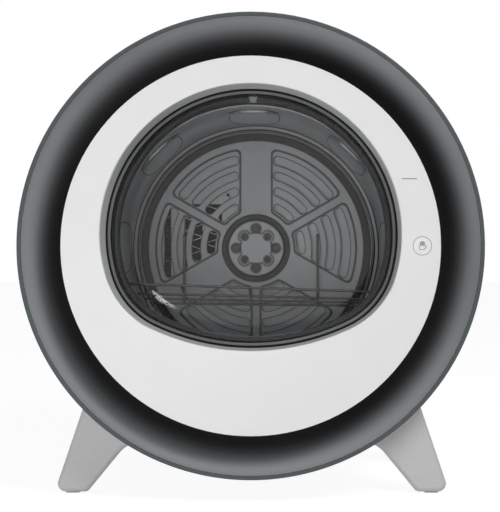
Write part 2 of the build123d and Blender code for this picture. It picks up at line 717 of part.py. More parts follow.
# Door cover: a white disc with the D cut out, a short skirt and screw bosses behind
with BuildPart() as door_cover:
    with BuildSketch(face_plane(0)):
        Circle(DOOR_R)
    extrude(amount=-COVER_SKIRT)
    with BuildSketch(face_plane(COVER_THICK)):
        Circle(DOOR_R - PLATE)
    extrude(amount=-(COVER_SKIRT - COVER_THICK), mode=Mode.SUBTRACT)
    with BuildSketch(face_plane(COVER_THICK)):
        with PolarLocations(DOOR_SCREW_CIRCLE_R, DOOR_SCREW_COUNT, start_angle=180 / DOOR_SCREW_COUNT):
            Circle(DOOR_BOSS_R)
    extrude(amount=-(GLASS_BACK - COVER_THICK))
    with BuildSketch(face_plane(0)):
        add(window_face(0))
    extrude(amount=-COVER_THICK, mode=Mode.SUBTRACT)
    with BuildSketch(face_plane(0)):
        with Locations((LATCH_X, 0)):
            Circle(BADGE_R + SHAFT_FIT)
    extrude(amount=-BADGE_THICK, mode=Mode.SUBTRACT)
    with BuildSketch(face_plane(GLASS_BACK)):
        with PolarLocations(DOOR_SCREW_CIRCLE_R, DOOR_SCREW_COUNT, start_angle=180 / DOOR_SCREW_COUNT):
            Circle(SCREW_R)
    extrude(amount=SCREW_BITE, mode=Mode.SUBTRACT)
    face_rim = door_cover.edges().filter_by(GeomType.CIRCLE).group_by(Axis.Y)[0]
    fillet(face_rim.sort_by(SortBy.RADIUS)[-1], COVER_EDGE_R)
save(door_cover, "door_cover")

# Push mark, a disc let into the cover
with BuildPart() as push_badge:
    with BuildSketch(face_plane(0)):
        with Locations((LATCH_X, 0)):
            Circle(BADGE_R)
    extrude(amount=-BADGE_THICK)
save(push_badge, "push_badge")

# Grey well between the cover and the glass
with BuildPart() as window_well:
    with BuildSketch(face_plane(COVER_THICK)):
        add(window_face(-WELL_WALL))
    extrude(amount=-(WELL_END - COVER_THICK))
    with BuildSketch(face_plane(COVER_THICK)):
        add(window_face(-WELL_FLANGE))
    extrude(amount=-WELL_WALL)
    with BuildSketch(face_plane(COVER_THICK)):
        add(window_face(0))
    extrude(amount=-(WELL_END - COVER_THICK), mode=Mode.SUBTRACT)
save(window_well, "window_well")

# Black gasket and the grey ring that retains the glass
with BuildPart() as glass_gasket:
    with BuildSketch(face_plane(WELL_END)):
        add(window_face(-WELL_WALL))
        add(window_face(GASKET_WIDTH + RETAINER_WIDTH), mode=Mode.SUBTRACT)
    extrude(amount=-GASKET_THICK)
save(glass_gasket, "glass_gasket")

with BuildPart() as retainer_ring:
    with BuildSketch(face_plane(WELL_END - RETAINER_THICK)):
        add(window_face(GASKET_WIDTH))
        add(window_face(GASKET_WIDTH + RETAINER_WIDTH), mode=Mode.SUBTRACT)
    extrude(amount=-RETAINER_THICK)
save(retainer_ring, "retainer_ring")

# Smoked glass bowl: a flange, a sloping wall and a flat end that reaches towards the drum
with BuildPart() as bowl_hollow:
    with BuildSketch(face_plane(GLASS_FRONT)):
        add(window_face(BOWL_INSET_FRONT + GLASS_THICK))
    with BuildSketch(face_plane(BOWL_END - GLASS_THICK)):
        add(window_face(BOWL_INSET_BACK + GLASS_THICK, BOWL_CORNER_R))
    loft(ruled=True)
    fillet(bowl_hollow.faces().sort_by(Axis.Y)[-1].edges(), BOWL_EDGE_R - GLASS_THICK)
with BuildPart() as door_glass:
    with BuildSketch(face_plane(GLASS_BACK)):
        add(window_face(BOWL_INSET_FRONT))
    with BuildSketch(face_plane(BOWL_END)):
        add(window_face(BOWL_INSET_BACK, BOWL_CORNER_R))
    loft(ruled=True)
    fillet(door_glass.faces().sort_by(Axis.Y)[-1].edges(), BOWL_EDGE_R)
    with BuildSketch(face_plane(GLASS_FRONT)):
        add(window_face(-GLASS_RIM_OUT))
    extrude(amount=-GLASS_THICK)
    add(bowl_hollow.part, mode=Mode.SUBTRACT)
save(door_glass, "door_glass")

# Inner frame of the door, a pan with a pocket for the hinge
with BuildPart() as door_inner_frame:
    with BuildSketch(face_plane(COVER_THICK)):
        Circle(FRAME_R)
    extrude(amount=-(FRAME_BACK - COVER_THICK))
    with BuildSketch(face_plane(COVER_THICK)):
        Circle(FRAME_R - FRAME_WALL)
    extrude(amount=-(GLASS_BACK - COVER_THICK), mode=Mode.SUBTRACT)
    with BuildSketch(face_plane(GLASS_BACK)):
        add(window_face(FRAME_OPENING_INSET))
        with PolarLocations(DOOR_SCREW_CIRCLE_R, DOOR_SCREW_COUNT, start_angle=180 / DOOR_SCREW_COUNT):
            Circle(SCREW_R + SHAFT_FIT)
    extrude(amount=-FRAME_WALL, mode=Mode.SUBTRACT)
    pocket_width = DOOR_R + HINGE_POCKET_RIGHT
    with BuildSketch(face_plane(COVER_THICK)):
        with Locations((HINGE_POCKET_RIGHT - pocket_width / 2, 0)):
            Rectangle(pocket_width, 2 * HINGE_POCKET_HALF)
    extrude(amount=-(FRAME_BACK - COVER_THICK), mode=Mode.SUBTRACT)
save(door_inner_frame, "door_inner_frame")

# Screws that clamp the inner frame to the cover's bosses
with BuildPart() as door_screws:
    with BuildSketch(face_plane(FRAME_BACK)):
        with PolarLocations(DOOR_SCREW_CIRCLE_R, DOOR_SCREW_COUNT, start_angle=180 / DOOR_SCREW_COUNT):
            Circle(SCREW_R)
    extrude(amount=FRAME_WALL + SCREW_BITE)
    with BuildSketch(face_plane(FRAME_BACK)):
        with PolarLocations(DOOR_SCREW_CIRCLE_R, DOOR_SCREW_COUNT, start_angle=180 / DOOR_SCREW_COUNT):
            Circle(SCREW_HEAD_R)
    extrude(amount=-SCREW_HEAD_THICK)
save(door_screws, "door_screws")

# Hinge: bracket on the bulkhead, pin through its ears, and the arm on the door
EAR_START = HINGE_KNUCKLE_HALF + HINGE_EAR_GAP
EAR_END = EAR_START + HINGE_EAR_THICK
with BuildPart() as hinge_bracket:
    with BuildSketch(face_plane(BULKHEAD_DEPTH - HINGE_PLATE)):
        with Locations((HINGE_X + HINGE_EAR_HALF, 0)):
            Rectangle(4 * HINGE_EAR_HALF, 2 * HINGE_PLATE_HALF)
    extrude(amount=-HINGE_PLATE)
    for ear_low in (EAR_START, -EAR_END):
        with BuildSketch(level_plane(ear_low)):
            with Locations((HINGE_X, HINGE_DEPTH)):
                Circle(HINGE_EAR_HALF)
            with Locations((HINGE_X, (HINGE_DEPTH + BULKHEAD_DEPTH) / 2)):
                Rectangle(2 * HINGE_EAR_HALF, BULKHEAD_DEPTH - HINGE_DEPTH)
            with Locations((HINGE_X, HINGE_DEPTH)):
                Circle(HINGE_PIN_R, mode=Mode.SUBTRACT)
        extrude(amount=HINGE_EAR_THICK)
save(hinge_bracket, "hinge_bracket")

with BuildPart() as hinge_pin:
    with BuildSketch(level_plane(-EAR_END)):
        with Locations((HINGE_X, HINGE_DEPTH)):
            Circle(HINGE_PIN_R)
    extrude(amount=2 * EAR_END)
save(hinge_pin, "hinge_pin")

LEAF_LEFT = HINGE_X - HINGE_EAR_HALF
with BuildPart() as hinge_arm:
    with BuildSketch(level_plane(-HINGE_KNUCKLE_HALF)):
        with Locations((HINGE_X, HINGE_DEPTH)):
            Circle(HINGE_KNUCKLE_R)
        with Locations((HINGE_X, (HINGE_DEPTH + COVER_THICK) / 2)):
            Rectangle(2 * HINGE_EAR_HALF, HINGE_DEPTH - COVER_THICK)
        with Locations(((LEAF_LEFT + HINGE_LEAF_RIGHT) / 2, COVER_THICK + HINGE_LEAF_THICK / 2)):
            Rectangle(HINGE_LEAF_RIGHT - LEAF_LEFT, HINGE_LEAF_THICK)
        with Locations((HINGE_X, HINGE_DEPTH)):
            Circle(HINGE_PIN_R + SHAFT_FIT, mode=Mode.SUBTRACT)
    extrude(amount=2 * HINGE_KNUCKLE_HALF)
save(hinge_arm, "hinge_arm")

# Latch: hook on the door, catch behind the bulkhead and its sprung plunger
with BuildPart() as latch_hook:
    with BuildSketch(level_plane(LATCH_HOOK_Z - LATCH_HOOK_HALF)):
        with BuildLine():
            hook_left = LATCH_X - LATCH_HOOK_THICK / 2
            hook_right = LATCH_X + LATCH_HOOK_THICK / 2
            Polyline(
                (hook_left, FRAME_BACK),
                (hook_right, FRAME_BACK),
                (hook_right, LATCH_HOOK_END - LATCH_BARB_LENGTH),
                (hook_right + LATCH_BARB, LATCH_HOOK_END - LATCH_BARB_LENGTH + 1),
                (hook_right - LATCH_HOOK_THICK / 4, LATCH_HOOK_END),
                (hook_left, LATCH_HOOK_END),
                close=True,
            )
        make_face()
    extrude(amount=2 * LATCH_HOOK_HALF)
save(latch_hook, "latch_hook")

with BuildPart() as latch_catch:
    with BuildSketch(face_plane(CATCH_FRONT)):
        with Locations((LATCH_X, (CATCH_TOP + CATCH_BOTTOM) / 2)):
            Rectangle(2 * CATCH_HALF_X, CATCH_TOP - CATCH_BOTTOM)
    extrude(amount=-(CATCH_END - CATCH_FRONT))
    with BuildSketch(face_plane(CATCH_FRONT)):
        with Locations((LATCH_X, LATCH_PLUNGER_Z)):
            Circle(LATCH_PLUNGER_R + SHAFT_FIT)
        with Locations((LATCH_X, LATCH_HOOK_Z)):
            Rectangle(LATCH_SLOT_WIDTH + CATCH_SLACK, 2 * (LATCH_HOOK_HALF + CATCH_SLACK))
    extrude(amount=-(CATCH_END - CATCH_FRONT - CATCH_FLOOR), mode=Mode.SUBTRACT)
save(latch_catch, "latch_catch")

PLUNGER_END = CATCH_END - CATCH_FLOOR - LATCH_TRAVEL - 1
with BuildPart() as latch_plunger:
    with BuildSketch(face_plane(FRAME_BACK + RUN_GAP)):
        with Locations((LATCH_X, LATCH_PLUNGER_Z)):
            Circle(LATCH_PLUNGER_R)
    extrude(amount=-(PLUNGER_END - FRAME_BACK - RUN_GAP))
save(latch_plunger, "latch_plunger")

with BuildPart() as door_switch:
    with BuildSketch(face_plane(CATCH_FRONT)):
        with Locations((LATCH_X, SWITCH_Z)):
            RectangleRounded(SWITCH_WIDTH, SWITCH_HEIGHT, SWITCH_CORNER_R)
    extrude(amount=-SWITCH_DEPTH)
save(door_switch, "door_switch")

# Drum shell with eight flat oblong pads pressed inwards
with BuildPart() as drum_pads:
    for index in range(PAD_COUNT):
        turn = math.radians(index * 360 / PAD_COUNT)
        outward = Vector(math.sin(turn), 0, math.cos(turn))
        pad_centre = place(PAD_FACE_R * outward.X, PAD_DEPTH_MID, PAD_FACE_R * outward.Z)
        with BuildSketch(Plane(origin=pad_centre, x_dir=(0, 1, 0), z_dir=outward)):
            RectangleRounded(PAD_LENGTH, PAD_WIDTH, PAD_CORNER_R)
        extrude(amount=DRUM_OUTER_R - PAD_FACE_R)
    with BuildSketch(face_plane(DRUM_FRONT)):
        Circle(DRUM_INNER_R + DRUM_SHEET / 2)
    extrude(amount=-(DRUM_BACK - DRUM_FRONT), mode=Mode.INTERSECT)

with BuildPart() as drum_shell:
    with BuildSketch(face_plane(DRUM_FRONT)):
        Circle(DRUM_OUTER_R)
        Circle(DRUM_INNER_R, mode=Mode.SUBTRACT)
    extrude(amount=-(DRUM_BACK + BACK_SHEET - DRUM_FRONT))
    add(drum_pads.part)
save(drum_shell, "drum_shell")

# Drum back: bead and recess round the edge, six framed sectors of slots, recess round the hub
DRUM_REAR_FACE = DRUM_BACK + BACK_SHEET
with BuildPart() as drum_back:
    with BuildSketch(SECTION):
        with BuildLine():
            Polyline(
                (DRUM_BACK - BACK_CORNER, DRUM_INNER_R),
                (DRUM_BACK, DRUM_INNER_R - BACK_CORNER),
                (DRUM_BACK, GROOVE_OUT_R),
                (DRUM_BACK + GROOVE_SINK, (GROOVE_OUT_R + GROOVE_IN_R) / 2),
                (DRUM_BACK, GROOVE_IN_R),
                (DRUM_BACK, BEAD_OUT_R),
                (DRUM_BACK - BEAD_HEIGHT, (BEAD_OUT_R + BEAD_IN_R) / 2),
                (DRUM_BACK, BEAD_IN_R),
                (DRUM_BACK, RECESS_OUT_R),
                (DRUM_BACK + RECESS_SINK, RECESS_OUT_R - PRESS_SLOPE),
                (DRUM_BACK + RECESS_SINK, RECESS_IN_R + PRESS_SLOPE),
                (DRUM_BACK, RECESS_IN_R),
                (DRUM_BACK, HUB_RECESS_OUT_R),
                (DRUM_BACK + HUB_RECESS_SINK, HUB_RECESS_OUT_R - PRESS_SLOPE),
                (DRUM_BACK + HUB_RECESS_SINK, HUB_RECESS_IN_R + PRESS_SLOPE),
                (DRUM_BACK, HUB_RECESS_IN_R),
                (DRUM_BACK, 0),
                (DRUM_REAR_FACE, 0),
                (DRUM_REAR_FACE, HUB_RECESS_IN_R - PRESS_SLOPE),
                (DRUM_REAR_FACE + HUB_RECESS_SINK, HUB_RECESS_IN_R),
                (DRUM_REAR_FACE + HUB_RECESS_SINK, HUB_RECESS_OUT_R),
                (DRUM_REAR_FACE, HUB_RECESS_OUT_R + PRESS_SLOPE),
                (DRUM_REAR_FACE, RECESS_IN_R - PRESS_SLOPE),
                (DRUM_REAR_FACE + RECESS_SINK, RECESS_IN_R - PRESS_SLOPE),
                (DRUM_REAR_FACE + RECESS_SINK, RECESS_OUT_R + PRESS_SLOPE),
                (DRUM_REAR_FACE, RECESS_OUT_R + PRESS_SLOPE),
                (DRUM_REAR_FACE, DRUM_INNER_R),
                close=True,
            )
        make_face()
    revolve(axis=DRUM_AXIS)
    with BuildSketch(face_plane(DRUM_BACK)):
        for wide_angle in WIDE_SPOKE_ANGLES:
            for side in (-1, 1):
                add(sector_face(wide_angle, side, 0, FRAME_CORNER_R))
                add(sector_face(wide_angle, side, FRAME_GROOVE, FRAME_CORNER_R), mode=Mode.SUBTRACT)
    extrude(amount=-FRAME_SINK, mode=Mode.SUBTRACT)
    with BuildSketch(face_plane(DRUM_BACK)):
        for wide_angle in WIDE_SPOKE_ANGLES:
            for side in (-1, 1):
                for band in SLOT_BANDS:
                    add(slot_face(wide_angle, side, band))
    extrude(amount=-BACK_SHEET, mode=Mode.SUBTRACT)
save(drum_back, "drum_back")

# Hub plate: four dimples round a raised centre whose four lobes take the screws
HUB_FACE = DRUM_BACK - HUB_THICK
HUB_TOP = HUB_FACE - HUB_CENTRE_RISE
HUB_SEAT = HUB_TOP + HUB_SCREW_SUNK + SCREW_HEAD_THICK
with BuildPart() as hub_plate:
    with BuildSketch(face_plane(DRUM_BACK)):
        Circle(HUB_R)
    extrude(amount=HUB_THICK)
    hub_front = hub_plate.edges().filter_by(GeomType.CIRCLE).group_by(Axis.Y)[0]
    fillet(hub_front, HUB_EDGE_R)
    with BuildSketch(face_plane(HUB_FACE)):
        with PolarLocations(HUB_DIMPLE_CIRCLE_R, 4):
            Circle(HUB_DIMPLE_R)
    extrude(amount=-HUB_DIMPLE_SINK, taper=45, mode=Mode.SUBTRACT)
    with BuildSketch(face_plane(DRUM_BACK)):
        Circle(HUB_CENTRE_R)
        with PolarLocations(HUB_SCREW_CIRCLE_R, 4, start_angle=45):
            Circle(HUB_LOBE_R)
    extrude(amount=HUB_THICK + HUB_CENTRE_RISE)
    with BuildSketch(face_plane(HUB_TOP)):
        with PolarLocations(HUB_SCREW_CIRCLE_R, 4, start_angle=45):
            Circle(HUB_SCREW_HEAD_R + SHAFT_FIT)
    extrude(amount=-(HUB_SEAT - HUB_TOP), mode=Mode.SUBTRACT)
    with BuildSketch(face_plane(DRUM_BACK)):
        with PolarLocations(HUB_SCREW_CIRCLE_R, 4, start_angle=45):
            Circle(SCREW_R + SHAFT_FIT)
    extrude(amount=HUB_THICK, mode=Mode.SUBTRACT)
save(hub_plate, "hub_plate")

with BuildPart() as hub_screws:
    with BuildSketch(face_plane(HUB_SEAT)):
        with PolarLocations(HUB_SCREW_CIRCLE_R, 4, start_angle=45):
            Circle(HUB_SCREW_HEAD_R)
    extrude(amount=SCREW_HEAD_THICK)
    with BuildSketch(face_plane(HUB_SEAT)):
        with PolarLocations(HUB_SCREW_CIRCLE_R, 4, start_angle=45):
            Circle(SCREW_R)
    extrude(amount=-(DRUM_BACK - HUB_SEAT))
    with BuildSketch(face_plane(HUB_SEAT - SCREW_HEAD_THICK)):
        with PolarLocations(HUB_SCREW_CIRCLE_R, 4, start_angle=45):
            RegularPolygon(HUB_SCREW_SOCKET_R, 6)
    extrude(amount=-(SCREW_HEAD_THICK - HUB_SOCKET_FLOOR), mode=Mode.SUBTRACT)
save(hub_screws, "hub_screws")

# Drum shaft with its flange on the back of the drum
SHAFT_END = REAR_BULKHEAD + PLATE + HOUSING_FLANGE_THICK + BEARING_WIDTH - SHAFT_SHORT
with BuildPart() as drum_shaft:
    with BuildSketch(face_plane(DRUM_REAR_FACE)):
        Circle(SHAFT_FLANGE_R)
    extrude(amount=-SHAFT_FLANGE_THICK)
    with BuildSketch(face_plane(DRUM_REAR_FACE)):
        Circle(SHAFT_R)
    extrude(amount=-(SHAFT_END - DRUM_REAR_FACE))
save(drum_shaft, "drum_shaft")

# Shoe rack: a front bar, three cross bars, three runners and two rear posts with hooks
rack_wires = []
rack_bars = [(RACK_FRONT_DEPTH, RACK_FRONT_Z, RACK_ROLL, RACK_FRONT_GAP), *RACK_BARS]
for bar_depth, bar_z, roll, wall_gap in rack_bars:
    half = math.sqrt(DRUM_INNER_R**2 - bar_z**2) - wall_gap
    left_end = place(-half, bar_depth, bar_z - roll * half)
    rack_wires.append((left_end, place(half, bar_depth, bar_z + roll * half)))
for runner_x in RACK_RUNNER_X:
    stations = [place(runner_x, depth, bar_z + roll * runner_x) for depth, bar_z, roll, _ in rack_bars]
    rack_wires.extend(zip(stations, stations[1:]))
last_depth, last_z, last_roll = RACK_BARS[-1][:3]
for post_x in (RACK_LEFT_POST_X, RACK_RIGHT_POST_X):
    foot_z = last_z + last_roll * post_x
    corner = place(post_x, RACK_POST_DEPTH, foot_z)
    top = place(post_x, RACK_POST_DEPTH, RACK_POST_TOP)
    rack_wires.append((place(post_x, last_depth, foot_z), corner))
    rack_wires.append((corner, top))
    rack_wires.append((top, place(post_x, RACK_POST_DEPTH + RACK_HOOK, RACK_POST_TOP)))
with BuildPart() as shoe_rack:
    for start, end in rack_wires:
        with BuildSketch(Plane(origin=start, z_dir=end - start)):
            Circle(RACK_WIRE_R)
        extrude(amount=(end - start).length)
        with Locations(start, end):
            Sphere(RACK_WIRE_R + RACK_WELD)
save(shoe_rack, "shoe_rack")

# Centres of the motor, the belt's right-hand run, the idler and its pivot
MOTOR_X, MOTOR_Z = on_circle(MOTOR_CIRCLE_R, MOTOR_ANGLE)
REAR_BULKHEAD_BACK = REAR_BULKHEAD + PLATE
DUCT_HOLE_BOTTOM = -math.sqrt((DUCT_R - DUCT_WALL) ** 2 - (DUCT_HALF - DUCT_WALL) ** 2)
BELT_DRUM_R = DRUM_OUTER_R + RUN_GAP + BELT_THICK / 2
BELT_PULLEY_R = PULLEY_GROOVE_R + RUN_GAP + BELT_THICK / 2
WRAP_ANGLE = math.degrees(math.acos((BELT_DRUM_R - BELT_PULLEY_R) / MOTOR_CIRCLE_R))
RUN_OUT = Vector(*on_circle(1, MOTOR_ANGLE + WRAP_ANGLE))
RUN_UP = Vector(-RUN_OUT.Y, RUN_OUT.X)
MOTOR_CENTRE = Vector(MOTOR_X, MOTOR_Z)
IDLER_OFFSET = BELT_PULLEY_R + BELT_THICK / 2 + RUN_GAP + IDLER_R
IDLER_CENTRE = MOTOR_CENTRE + RUN_OUT * IDLER_OFFSET + RUN_UP * IDLER_RUN
PIVOT_CENTRE = IDLER_CENTRE + RUN_UP * IDLER_ARM_REACH + RUN_OUT * IDLER_ARM_OUT
IDLER_FRONT = BELT_FRONT + (BELT_WIDTH - IDLER_WIDTH) / 2
ARM_FRONT = IDLER_FRONT + IDLER_WIDTH + IDLER_ARM_GAP

# Rear bulkhead with the warm air inlet, the holes for shaft, duct and motor, and the idler post
with BuildPart() as rear_bulkhead:
    with BuildSketch(face_plane(REAR_BULKHEAD)):
        Circle(BULKHEAD_R)
        Circle(SHAFT_R + SHAFT_HOLE_GAP, mode=Mode.SUBTRACT)
        with Locations((sum(INLET_X) / 2, sum(INLET_Z) / 2)):
            Rectangle(INLET_X[1] - INLET_X[0], INLET_Z[1] - INLET_Z[0], mode=Mode.SUBTRACT)
        with Locations((sum(SIDE_SLOT_X) / 2, sum(SIDE_SLOT_Z) / 2)):
            Rectangle(SIDE_SLOT_X[1] - SIDE_SLOT_X[0], SIDE_SLOT_Z[1] - SIDE_SLOT_Z[0], mode=Mode.SUBTRACT)
        with Locations((SENSOR_HOLE_X, SENSOR_HOLE_Z)):
            Circle(SENSOR_HOLE_R, mode=Mode.SUBTRACT)
        with Locations((MOTOR_X, MOTOR_Z)):
            Circle(MOTOR_SHAFT_R + MOTOR_SHAFT_GAP, mode=Mode.SUBTRACT)
        with Locations((0, (DUCT_TOP - DUCT_WALL + DUCT_HOLE_BOTTOM) / 2)):
            duct_hole_height = DUCT_TOP - DUCT_WALL - DUCT_HOLE_BOTTOM
            Rectangle(2 * (DUCT_HALF - DUCT_WALL), duct_hole_height, mode=Mode.SUBTRACT)
    extrude(amount=-PLATE)
    with BuildSketch(face_plane(ARM_FRONT - IDLER_ARM_GAP)):
        with Locations((PIVOT_CENTRE.X, PIVOT_CENTRE.Y)):
            Circle(IDLER_POST_R)
    extrude(amount=-(REAR_BULKHEAD - ARM_FRONT + IDLER_ARM_GAP))
save(rear_bulkhead, "rear_bulkhead")

with BuildPart() as rear_felt_ring:
    with BuildSketch(face_plane(DRUM_REAR_FACE + RUN_GAP)):
        Circle(REAR_FELT_OUT_R)
        Circle(REAR_FELT_IN_R, mode=Mode.SUBTRACT)
    extrude(amount=-(REAR_BULKHEAD - DRUM_REAR_FACE - RUN_GAP))
save(rear_felt_ring, "rear_felt_ring")

# Bearing and its housing
HOUSING_END = REAR_BULKHEAD_BACK + HOUSING_FLANGE_THICK + BEARING_WIDTH + HOUSING_BACK_LIP
with BuildPart() as bearing_housing:
    with BuildSketch(face_plane(REAR_BULKHEAD_BACK)):
        Circle(HOUSING_FLANGE_R)
    extrude(amount=-HOUSING_FLANGE_THICK)
    with BuildSketch(face_plane(REAR_BULKHEAD_BACK)):
        Circle(BEARING_OUTER_R + HOUSING_WALL)
    extrude(amount=-(HOUSING_END - REAR_BULKHEAD_BACK))
    with BuildSketch(face_plane(REAR_BULKHEAD_BACK)):
        Circle(SHAFT_R + SHAFT_HOLE_GAP)
    extrude(amount=-HOUSING_FLANGE_THICK, mode=Mode.SUBTRACT)
    with BuildSketch(face_plane(REAR_BULKHEAD_BACK + HOUSING_FLANGE_THICK)):
        Circle(BEARING_OUTER_R)
    extrude(amount=-BEARING_WIDTH, mode=Mode.SUBTRACT)
save(bearing_housing, "bearing_housing")

with BuildPart() as shaft_bearing:
    with BuildSketch(face_plane(REAR_BULKHEAD_BACK + HOUSING_FLANGE_THICK)):
        Circle(BEARING_OUTER_R)
        Circle(SHAFT_R + SHAFT_FIT, mode=Mode.SUBTRACT)
    extrude(amount=-BEARING_WIDTH)
save(shaft_bearing, "shaft_bearing")

# Heater duct behind the inlet, and the finned heater in it
DUCT_END = CASING_END
DUCT_BOX_X = (HEATER_DUCT_X[0] + HEATER_DUCT_X[1]) / 2
DUCT_BOX_Z = (HEATER_DUCT_Z[0] + HEATER_DUCT_Z[1]) / 2
DUCT_BOX_W = HEATER_DUCT_X[1] - HEATER_DUCT_X[0]
DUCT_BOX_H = HEATER_DUCT_Z[1] - HEATER_DUCT_Z[0]
with BuildPart() as heater_duct:
    with BuildSketch(face_plane(REAR_BULKHEAD_BACK)):
        with Locations((DUCT_BOX_X, DUCT_BOX_Z)):
            Rectangle(DUCT_BOX_W, DUCT_BOX_H)
            Rectangle(DUCT_BOX_W - 2 * HEATER_DUCT_WALL, DUCT_BOX_H - 2 * HEATER_DUCT_WALL, mode=Mode.SUBTRACT)
    extrude(amount=-(DUCT_END - REAR_BULKHEAD_BACK))
save(heater_duct, "heater_duct")

HEATER_BOTTOM = HEATER_DUCT_Z[0] + HEATER_DUCT_WALL
HEATER_TOP = HEATER_DUCT_Z[1] - HEATER_DUCT_WALL
HEATER_CELL = (INLET_X[1] - INLET_X[0] - HEATER_BAR) / 2
FOLD_START = HEATER_BOTTOM + HEATER_BAR + HEATER_FOIL
FOLD_PITCH = (HEATER_TOP - HEATER_BAR - 2 * HEATER_FOIL - FOLD_START) / HEATER_FOLDS
with BuildPart() as ptc_heater:
    with BuildSketch(face_plane(HEATER_DEPTH)):
        for bar_x in (INLET_X[0] - HEATER_BAR / 2, sum(INLET_X) / 2, INLET_X[1] + HEATER_BAR / 2):
            with Locations((bar_x, (HEATER_TOP + HEATER_BOTTOM) / 2)):
                Rectangle(HEATER_BAR, HEATER_TOP - HEATER_BOTTOM)
        for rail_z in (HEATER_BOTTOM + HEATER_BAR / 2, HEATER_TOP - HEATER_BAR / 2):
            with Locations((sum(INLET_X) / 2, rail_z)):
                Rectangle(INLET_X[1] - INLET_X[0] + 2 * HEATER_BAR, HEATER_BAR)
        for cell_left in (INLET_X[0], INLET_X[1] - HEATER_CELL):
            folds = []
            for fold in range(HEATER_FOLDS + 1):
                fold_x = cell_left - HEATER_LAP + (HEATER_CELL + 2 * HEATER_LAP) * (fold % 2)
                folds.append((fold_x, FOLD_START + fold * FOLD_PITCH))
            for (from_x, from_z), (to_x, to_z) in zip(folds, folds[1:]):
                with BuildLine():
                    Polyline(
                        (from_x, from_z),
                        (to_x, to_z),
                        (to_x, to_z + HEATER_FOIL),
                        (from_x, from_z + HEATER_FOIL),
                        close=True,
                    )
                make_face()
    extrude(amount=-HEATER_THICK)
save(ptc_heater, "ptc_heater")

# Intake filter, a slatted frame that slides out of the rear cover
FILTER_W = DUCT_BOX_W - 2 * HEATER_DUCT_WALL - 2 * FILTER_GAP
FILTER_H = DUCT_BOX_H - 2 * HEATER_DUCT_WALL - 2 * FILTER_GAP
FILTER_FRONT = BODY_DEPTH - FILTER_THICK
with BuildPart() as intake_filter:
    with BuildSketch(face_plane(FILTER_FRONT)):
        with Locations((DUCT_BOX_X, DUCT_BOX_Z)):
            Rectangle(FILTER_W, FILTER_H)
            Rectangle(FILTER_W - 2 * FILTER_FRAME, FILTER_H - 2 * FILTER_FRAME, mode=Mode.SUBTRACT)
            with GridLocations(0, (FILTER_H - 2 * FILTER_FRAME) / (FILTER_SLATS + 1), 1, FILTER_SLATS):
                Rectangle(FILTER_W - FILTER_FRAME, FILTER_SLAT)
    extrude(amount=-FILTER_THICK)
    with BuildSketch(face_plane(FILTER_FRONT)):
        with Locations((DUCT_BOX_X, DUCT_BOX_Z)):
            Rectangle(FILTER_W - FILTER_FRAME, FILTER_H - FILTER_FRAME)
    extrude(amount=-FILTER_MAT)
    with BuildSketch(face_plane(BODY_DEPTH)):
        with Locations((DUCT_BOX_X, DUCT_BOX_Z - FILTER_H / 2 + FILTER_FRAME / 2)):
            Rectangle(FILTER_W / 3, FILTER_FRAME - 2)
    extrude(amount=-FILTER_TAB)
save(intake_filter, "intake_filter")

# Motor on three posts from the rear bulkhead
with BuildPart() as motor_body:
    with BuildSketch(face_plane(MOTOR_FRONT)):
        with Locations((MOTOR_X, MOTOR_Z)):
            Circle(MOTOR_R)
    extrude(amount=-(MOTOR_END - MOTOR_FRONT))
    motor_rims = motor_body.edges().filter_by(GeomType.CIRCLE)
    fillet(motor_rims, MOTOR_EDGE_R)
    with BuildSketch(face_plane(MOTOR_FRONT + MOTOR_CAP)):
        with Locations((MOTOR_X, MOTOR_Z)):
            Circle(MOTOR_SHAFT_R + SHAFT_FIT)
    extrude(amount=-(MOTOR_END - MOTOR_FRONT - MOTOR_CAP), mode=Mode.SUBTRACT)
save(motor_body, "motor_body")

with BuildPart() as motor_posts:
    with BuildSketch(face_plane(MOTOR_END)):
        for turn in MOTOR_POST_ANGLES:
            post_x, post_z = on_circle(MOTOR_POST_CIRCLE_R, turn)
            with Locations((MOTOR_X + post_x, MOTOR_Z + post_z)):
                Circle(MOTOR_POST_R)
    extrude(amount=-(REAR_BULKHEAD - MOTOR_END))
save(motor_posts, "motor_posts")

# Rotor: shaft with the belt pulley on it
ROTOR_FRONT = MOTOR_FRONT + MOTOR_CAP + ROTOR_END_GAP
ROTOR_END = FAN_FRONT + FAN_WIDTH
with BuildPart() as motor_rotor:
    with BuildSketch(face_plane(ROTOR_FRONT)):
        with Locations((MOTOR_X, MOTOR_Z)):
            Circle(MOTOR_SHAFT_R)
    extrude(amount=-(ROTOR_END - ROTOR_FRONT))
    with BuildSketch(face_plane(PULLEY_FRONT)):
        with Locations((MOTOR_X, MOTOR_Z)):
            Circle(PULLEY_FLANGE_R)
    extrude(amount=-(PULLEY_END - PULLEY_FRONT))
    with BuildSketch(face_plane(BELT_FRONT - BELT_SIDE_GAP)):
        with Locations((MOTOR_X, MOTOR_Z)):
            Circle(PULLEY_FLANGE_R + 1)
            Circle(PULLEY_GROOVE_R, mode=Mode.SUBTRACT)
    extrude(amount=-(BELT_WIDTH + 2 * BELT_SIDE_GAP), mode=Mode.SUBTRACT)
save(motor_rotor, "motor_rotor")

